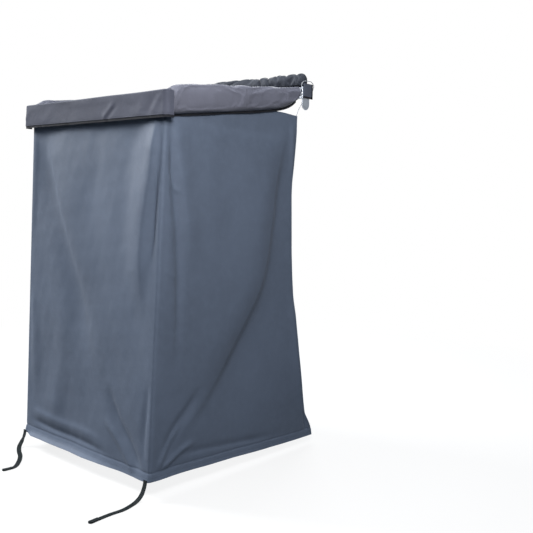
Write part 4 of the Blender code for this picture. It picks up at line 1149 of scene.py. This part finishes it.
def valance_plan(along, inset):
    """The valance's outline in plan, from its rear end round to its front end, drawn in by inset."""
    straight = VALANCE_BACK_Y - VALANCE_FACE_Y - VALANCE_CORNER
    arc = VALANCE_CORNER * math.pi / 2
    front = 2 * (VALANCE_END - VALANCE_CORNER)
    walked = along * (2 * straight + 2 * arc + front) - straight - arc - front / 2
    far = np.abs(walked)
    centre = np.maximum(inset, VALANCE_CORNER)
    radius = np.maximum(VALANCE_CORNER - inset, 0.0)
    angle = np.clip((far - front / 2) / VALANCE_CORNER, 0.0, math.pi / 2)
    on_front = np.minimum(far / (front / 2), 1.0)
    on_end = np.clip((far - front / 2 - arc) / straight, 0.0, 1.0)
    x = on_front * (VALANCE_END - centre) + radius * np.sin(angle)
    y = VALANCE_FACE_Y + centre - radius * np.cos(angle)
    y = y + on_end * (VALANCE_BACK_Y - VALANCE_FACE_Y - centre)
    return np.sign(walked) * x, y


def valance_wave(along, z):
    """How far the valance's face stands out in its creases."""
    x = (along - 0.5) * VALANCE_LENGTH
    wave = ripple(x, z, 77, 0.30) * 0.0020 + ripple(x, z * 0.6, 79, 0.09) * 0.0005
    for line, height, left, right in VALANCE_FOLDS:
        wave = wave + crease(x, z, line, height, left, right)
    low = smooth((-0.15 - z) / 0.09)
    return wave * smooth((VALANCE_TOP_Z - z) / 0.03) + 0.005 * low


class TENT_OT_valance(bpy.types.Operator):
    """Fold the flat band over the outer bar"""

    bl_idname = "tent.valance"
    bl_label = "Valance"

    def execute(self, context):
        sizes, colours = context.scene.tent_sizes, context.scene.tent_colours
        # The valance colour is darker than the sleeves' same cloth: painted shade.
        colour, seams = tuple(colours.valance), (0.008, 0.109)
        cloth = cloth_finish("valance_cloth", colour, 0.7, 0.7, seams, sheen=0.03, specular=0.08)
        tape = tape_finish("valance_tape_and_shadow", tuple(colours.binding))
        depth = VALANCE_BACK_Y - VALANCE_FACE_Y
        top_run = depth - VALANCE_EDGE
        arc = VALANCE_EDGE * math.pi / 2
        face_run = VALANCE_TOP_Z - VALANCE_FOOT_Z - VALANCE_EDGE

        def place(along, down):
            walked = down * (top_run + arc + face_run)
            angle = np.clip((walked - top_run) / VALANCE_EDGE, 0.0, math.pi / 2)
            inset = depth - np.minimum(walked, top_run) - VALANCE_EDGE * np.sin(angle)
            face = np.clip(walked - top_run - arc, 0, None)
            z = VALANCE_TOP_Z - VALANCE_EDGE * (1 - np.cos(angle)) - face
            sag = ripple(along * VALANCE_LENGTH, along * 0, 78, 0.45) * 0.0016 * smooth((z + 0.17) / 0.05)
            wave = valance_wave(along, z) * smooth((walked - top_run) / arc)
            x, y = valance_plan(along, np.maximum(inset, 0.0))
            way_x, way_y = self.outward(along)
            return x + way_x * wave, y + way_y * wave, z + sag * (1 - inset / depth)

        band = sheet("valance_cloth", 260, 34, place, (VALANCE_LENGTH, top_run + arc + face_run))
        merge(band)
        recalculate_sheet(band, (0, -1, 0))
        thicken(band, VALANCE_THICKNESS, -1)
        dress(band, cloth, "bar", ["valance"])

        # A dark tape below the band's lower edge, partly a bound edge and partly a painted shadow under the
        # band.
        def hang(along, down):
            z = VALANCE_FOOT_Z + 0.012 - (0.012 + sizes.tape_and_shadow_drop * 1.15) * down
            x, y = valance_plan(along, 0.0032)
            wave = valance_wave(along, np.full_like(along, VALANCE_FOOT_Z))
            way_x, way_y = self.outward(along)
            return x + way_x * wave, y + way_y * wave, z

        strip = sheet("valance_tape_and_shadow", 200, 4, hang, (VALANCE_LENGTH, 0.026))
        thicken(strip, VALANCE_TAPE_AND_SHADOW_THICKNESS)
        dress(strip, tape, "bar")
        return {"FINISHED"}

    def outward(self, along):
        """The way out of the valance's face at a place along it."""
        ahead = np.clip(along + 1e-4, 0, 1)
        behind = np.clip(along - 1e-4, 0, 1)
        none = np.zeros_like(along)
        x_ahead, y_ahead = valance_plan(ahead, none)
        x_behind, y_behind = valance_plan(behind, none)
        run_x, run_y = x_ahead - x_behind, y_ahead - y_behind
        size = np.hypot(run_x, run_y) + 1e-12
        return run_y / size, -run_x / size


ROLL_RISE = 0.0055
ROLL_END_ROUND = 0.034
ROLL_LIFT = 0.0001
FLAP_THICKNESS = 0.0026
BINDING_WIDTH = 0.0104
BINDING_THICKNESS = 0.0042


class TENT_OT_roll(bpy.types.Operator):
    """Lay the rolled cover along the rail, with its end flaps"""

    bl_idname = "tent.roll"
    bl_label = "Rolled cover"

    def execute(self, context):
        colours = context.scene.tent_colours
        material = cloth_finish("cover_cloth", tuple(colours.cover), 0.68, 1.6, sheen=0.06, wear=0.6)
        low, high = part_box("cover_roll")
        centre_y, half_width = (low.y + high.y) / 2, (high.y - low.y) / 2
        half_height = (high.z - low.z) / 2 + ROLL_RISE
        centre_z = low.z + half_height
        half = high.x

        def place(around, along):
            x = mix(half, -half, along)
            inner = np.clip((half - np.abs(x)) / ROLL_END_ROUND, 0, 1)
            round_off = np.sqrt(np.clip(1 - (1 - inner) ** 2, 0.0, 1))
            angle = around * 2 * math.pi
            twist = np.abs(np.sin((angle * 1.5 + x * 15) + np.sin(x * 9) * 1.4)) ** 3
            cross = np.abs(np.sin(angle * 1.0 - x * 34 + np.sin(x * 5 + 1) * 2.0)) ** 5
            cross = cross * (0.3 + 0.7 * smooth((x + 0.2) / 0.6))
            wrinkles = ripple(x, around * 0.23, 5, 0.07) * 0.0016
            wrinkles = wrinkles + ripple(x, around * 0.4, 6, 0.24) * 0.0022
            lap = 0.0032 * smooth((0.62 - around) / 0.012) * smooth((around - 0.10) / 0.35)
            out = wrinkles - 0.0038 * twist - 0.0030 * cross + lap
            under = np.where(np.sin(angle) < 0, 0.35, 1.0)
            y = centre_y + (half_width - 0.0010 + out) * round_off * np.cos(angle)
            z = centre_z + (half_height - 0.0012 + out * under) * round_off * np.sin(angle)
            return x, y, np.maximum(z, low.z + ROLL_LIFT)

        obj = sheet("cover_roll_cloth", 80, 290, place, (0.25, 1.19))
        merge(obj)
        recalculate(obj)
        x, _, z = coordinates(obj).T
        laid = 1 - smooth((z - low.z - 0.002) / 0.012)
        tied = 1 - smooth((half - np.abs(x)) / 0.012)
        puff(obj, np.clip(laid + tied, 0, 1), pressure=1.5, slack=0.045, reach=0.008, frames=16)
        settled = coordinates(obj)
        settled[:, 2] = np.maximum(settled[:, 2], low.z + ROLL_LIFT)
        set_coordinates(obj, settled)
        dress(obj, material, "base", ["cover_roll"], 50)
        flap_cloth = cloth_finish("flap_cloth", shade(colours.cover, 2.4), 0.6, 1.0, seams=(0.009,))
        tape = tape_finish("flap_binding", tuple(colours.binding))
        for side_name in SIDES:
            self.flap(side_name, flap_cloth, tape)
        return {"FINISHED"}

    def flap(self, side_name, cloth, tape):
        """The flat flap over the end of the roll and of the rail, bound on its back edge and below."""
        low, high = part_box(f"{side_name}_end_flap")
        middle = (low.x + high.x) / 2

        def place(across, down):
            y, z = mix(low.y, high.y, across), mix(high.z, low.z, down)
            return middle + ripple(y, z, 61, 0.08) * 0.0003, y, z

        obj = sheet(f"{side_name}_end_flap_cloth", 24, 24, place, FLAP_CUT)
        thicken(obj, FLAP_THICKNESS)
        dress(obj, cloth, "base", [f"{side_name}_end_flap"])
        inset = BINDING_WIDTH / 2
        for edge, start, end, way in (
            ("foot", (low.y, low.z + inset), (high.y, low.z + inset), (0, 0, 1)),
            ("edge", (high.y - inset, low.z), (high.y - inset, high.z), (0, 1, 0)),
        ):
            line = np.linspace(start, end, 21)
            path = np.column_stack((np.full(len(line), middle), line))
            strip = flat_band(f"{side_name}_flap_{edge}_binding", path, way, BINDING_WIDTH, BINDING_THICKNESS)
            dress(strip, tape, "base")


def smooth_route(points, spacing):
    """Evenly spaced points along a smooth curve through a route's own points."""
    fine = curved(points, 20)
    walked = np.concatenate(([0.0], np.cumsum(np.linalg.norm(np.diff(fine, axis=0), axis=1))))
    count = max(2, round(walked[-1] / spacing))
    even = np.linspace(0, walked[-1], count + 1)
    return np.stack([np.interp(even, walked, fine[:, axis]) for axis in range(3)], axis=1)


def round_cord(name, path, radius, sides=12):
    """A round cord along a path, closed at both ends."""
    runs = np.gradient(path, axis=0)
    runs /= np.linalg.norm(runs, axis=1)[:, None]
    across = np.zeros_like(path)
    seed = np.array((0.0, 0.0, 1.0)) if abs(runs[0][2]) < 0.9 else np.array((0.0, 1.0, 0.0))
    for step, run in enumerate(runs):
        seed = seed - run * (seed @ run)
        seed /= np.linalg.norm(seed)
        across[step] = seed
    other = np.cross(runs, across)
    rows = len(path) + 1

    def place(around, down):
        step = np.clip(np.rint(down * rows).astype(int) - 1, 0, len(path) - 1)
        open_ring = (np.rint(down * rows) > 0.5) & (np.rint(down * rows) < rows - 0.5)
        angle = around * 2 * math.pi
        ring = np.cos(angle)[:, None] * across[step] + np.sin(angle)[:, None] * other[step]
        points = path[step] + ring * (radius * open_ring)[:, None]
        return points.T

    obj = sheet(name, sides, rows, place, (1.0, path_length(path)))
    turn_uv(obj)
    merge(obj)
    return recalculate(obj)


TIE_DIAMETER = 0.004
ROUTE_STEP = 0.004

# The routes of the front ties, and of the straps from where they leave the hem: out along X and Y, and
# the share of the way down to the ground.
LOWER_TIE = (
    (0.569, -0.057, -0.1324),
    (0.569, -0.057, -0.1264),
    (0.570, -0.051, -0.1104),
    (0.577, -0.041, -0.0824),
    (0.588, -0.0225, -0.0443),
    (0.588, -0.0225, -0.0303),
)
ROLL_TIE = (
    (0.588, -0.0303, 0.024),
    (0.588, -0.0403, 0.024),
    (0.594, -0.051, 0.034),
    (0.599, -0.054, 0.047),
    (0.605, -0.043, 0.060),
    (0.611, -0.018, 0.062),
    (0.613, 0.012, 0.061),
    (0.608, 0.042, 0.040),
    (0.596, 0.040, 0.010),
    (0.590, 0.018, 0.0),
    (0.590, 0.0003, 0.0),
)
FRONT_STRAP = (
    (0.000, -0.006, 0.30),
    (0.001, -0.022, 0.68),
    (0.006, -0.052, 0.93),
    (0.020, -0.100, 1.0),
    (0.034, -0.160, 1.0),
    (0.032, -0.230, 1.0),
    (0.036, -0.300, 1.0),
    (0.042, -0.355, 1.0),
)
REAR_STRAP = (
    (0.000, -0.006, 0.30),
    (0.001, -0.022, 0.68),
    (0.022, -0.050, 0.93),
    (0.080, -0.086, 1.0),
    (0.160, -0.126, 1.0),
    (0.235, -0.180, 1.0),
    (0.292, -0.240, 1.0),
    (0.296, -0.310, 1.0),
)
STRAP_WIDTH = 0.025
STRAP_THICKNESS = 0.0036
LOOP_THICKNESS = 0.0022
LOOP_POINTS = 16


class TENT_OT_ties(bpy.types.Operator):
    """Run the pale elastic cords at the rail's ends"""

    bl_idname = "tent.ties"
    bl_label = "Elastic ties"

    def execute(self, context):
        material = elastic_finish("elastic_cord", tuple(context.scene.tent_colours.elastic))
        for side_name, side in SIDES.items():
            for name, route in ((f"{side_name}_tie", LOWER_TIE), (f"{side_name}_roll_tie", ROLL_TIE)):
                path = smooth_route(np.array(route) * (side, 1, 1), ROUTE_STEP)
                cord = round_cord(f"{name}_cord", path, TIE_DIAMETER / 2)
                dress(cord, material, stands_for=[name], degrees=60)
                if route is LOWER_TIE:
                    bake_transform(cord)
                else:
                    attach(cord, "base")
        return {"FINISHED"}


class TENT_OT_straps(bpy.types.Operator):
    """Lay the black peg straps from the outer bottom corners to the ground"""

    bl_idname = "tent.straps"
    bl_label = "Peg straps"

    def execute(self, context):
        material = webbing_finish("strap_webbing", tuple(context.scene.tent_colours.webbing))
        ground = GROUND_Z + STRAP_THICKNESS / 2
        for side_name, route in (("front", FRONT_STRAP), ("rear", REAR_STRAP)):
            x = SIDES[side_name] * (ARM_X + CORNER_PROUD + SIDE_FLARE - 0.003 - STRAP_WIDTH / 2)
            flare = mix(CORNER_FLARE[-1], CORNER_FLARE[1], (x / ARM_X + 1) / 2)
            y = OUTER_Y - flare - 0.010 - 0.0015 - 2 * FIT - STRAP_THICKNESS / 2
            points = [(x, y, HEM_Z + 0.012), (x, y, HEM_Z)]
            points += [(x + out_x, y + out_y, mix(HEM_Z, ground, fall)) for out_x, out_y, fall in route]
            fine = smooth_route(points, ROUTE_STEP)
            obj = self.ribbon(f"{side_name}_peg_strap_webbing", fine, STRAP_THICKNESS)
            dress(obj, material, "bar", [f"{side_name}_peg_strap"], 50)
            turned = fine[-LOOP_POINTS:][::-1].copy()
            turned[:, 2] += 0.0034 + 0.0016 * np.exp(-np.linspace(0, 3, len(turned)))
            loop = self.ribbon(f"{side_name}_peg_strap_loop", turned, LOOP_THICKNESS, "start")
            dress(loop, material, "bar", degrees=50)
        return {"FINISHED"}

    def ribbon(self, name, path, thickness, tip="end"):
        """A flat strap, rounded at its tip: upright against the wall, then flat on the ground."""
        runs = np.gradient(path, axis=0)
        runs /= np.linalg.norm(runs, axis=1)[:, None]
        level = np.hypot(runs[:, 0], runs[:, 1])
        lying = smooth(level / 0.6)[:, None]
        across_run = np.stack((np.abs(runs[:, 1]), np.sign(-runs[:, 1]) * runs[:, 0], 0 * level), axis=1)
        square = across_run * lying + np.array((1.0, 0.0, 0.0)) * (1 - lying)
        square /= np.linalg.norm(square, axis=1)[:, None]
        last = len(path) - 1
        walked = np.concatenate(([0.0], np.cumsum(np.linalg.norm(np.diff(path, axis=0), axis=1))))
        to_tip = walked if tip == "start" else walked[-1] - walked
        ends = np.minimum(to_tip / (STRAP_WIDTH / 2), 1)
        width = 0.35 + 0.65 * np.sqrt(np.clip(1 - (1 - ends) ** 2, 0, 1))

        def place(across, down):
            step = np.rint(down * last).astype(int)
            reach = (across - 0.5) * STRAP_WIDTH * 0.98 * width[step]
            return (path[step] + square[step] * reach[:, None]).T

        obj = sheet(name, 8, last, place, (STRAP_WIDTH, path_length(path)))
        turn_uv(obj)
        return thicken(obj, thickness)


# The scale on each axis of the lines in metal that is drawn along X, drawn along Y, and rolled.
DRAWN_X = (1.5, 420, 420)
DRAWN_Y = (420, 1.5, 420)
ROLLED = (90, 300, 12)


class TENT_OT_metalwork(bpy.types.Operator):
    """Give the rail, brackets, castings, tubes and knobs their finishes"""

    bl_idname = "tent.metalwork"
    bl_label = "Metalwork"

    def execute(self, context):
        finishes = {
            ("base_rail", "outer_bar"): metal_finish("rail_anodised", (0.62, 0.66, 0.72), 0.34, DRAWN_X),
            ("_arm",): metal_finish("tube_anodised", (0.60, 0.64, 0.70), 0.36, DRAWN_Y),
            ("end_plate",): metal_finish("plate_anodised", (0.80, 0.85, 0.92), 0.36, ROLLED),
            ("_fork", "_tongue"): metal_finish("cast_alloy", (0.42, 0.44, 0.48), 0.48, cast=True),
            ("_pin", "_bolt", "_rack_bracket"): metal_finish(
                "zinc_plate", (0.56, 0.56, 0.57), 0.34, spots=0.5
            ),
            ("_knob", "_cap"): plastic_finish("black_plastic", (0.022, 0.022, 0.024)),
        }
        for endings, finish in finishes.items():
            for name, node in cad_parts.items():
                if name.endswith(endings):
                    for slot in node.material_slots:
                        slot.material = finish
        return {"FINISHED"}


class TENT_PT_panel(bpy.types.Panel):
    """Lists the tent's pieces, sizes and colours."""

    bl_idname = "TENT_PT_panel"
    bl_label = "Vehicle Shower Tent"
    bl_space_type = "VIEW_3D"
    bl_region_type = "UI"
    bl_category = "Shower Tent"

    def draw(self, context):
        layout = self.layout
        for operator in OPERATORS:
            layout.operator(operator.bl_idname)
        for group in (context.scene.tent_sizes, context.scene.tent_colours):
            box = layout.box()
            for name in group.__annotations__:
                box.prop(group, name)


OPERATORS = (
    TENT_OT_camera,
    TENT_OT_ties,
    TENT_OT_straps,
    TENT_OT_walls,
    TENT_OT_sleeves,
    TENT_OT_valance,
    TENT_OT_roll,
    TENT_OT_metalwork,
    TENT_OT_stage,
)
CLASSES = (TentSizes, TentColours, *OPERATORS, TENT_PT_panel)


def register():
    for cls in CLASSES:
        bpy.utils.register_class(cls)
    bpy.types.Scene.tent_sizes = PointerProperty(type=TentSizes)
    bpy.types.Scene.tent_colours = PointerProperty(type=TentColours)


def unregister():
    del bpy.types.Scene.tent_colours
    del bpy.types.Scene.tent_sizes
    for cls in reversed(CLASSES):
        bpy.utils.unregister_class(cls)


def main():
    """Make every piece in order."""
    register()
    bpy.ops.tent.camera()
    bpy.ops.tent.ties()
    bpy.ops.tent.straps()
    bpy.ops.tent.walls()
    bpy.ops.tent.sleeves()
    bpy.ops.tent.valance()
    bpy.ops.tent.roll()
    bpy.ops.tent.metalwork()
    bpy.ops.tent.stage()


if __name__ == "__main__":
    main()
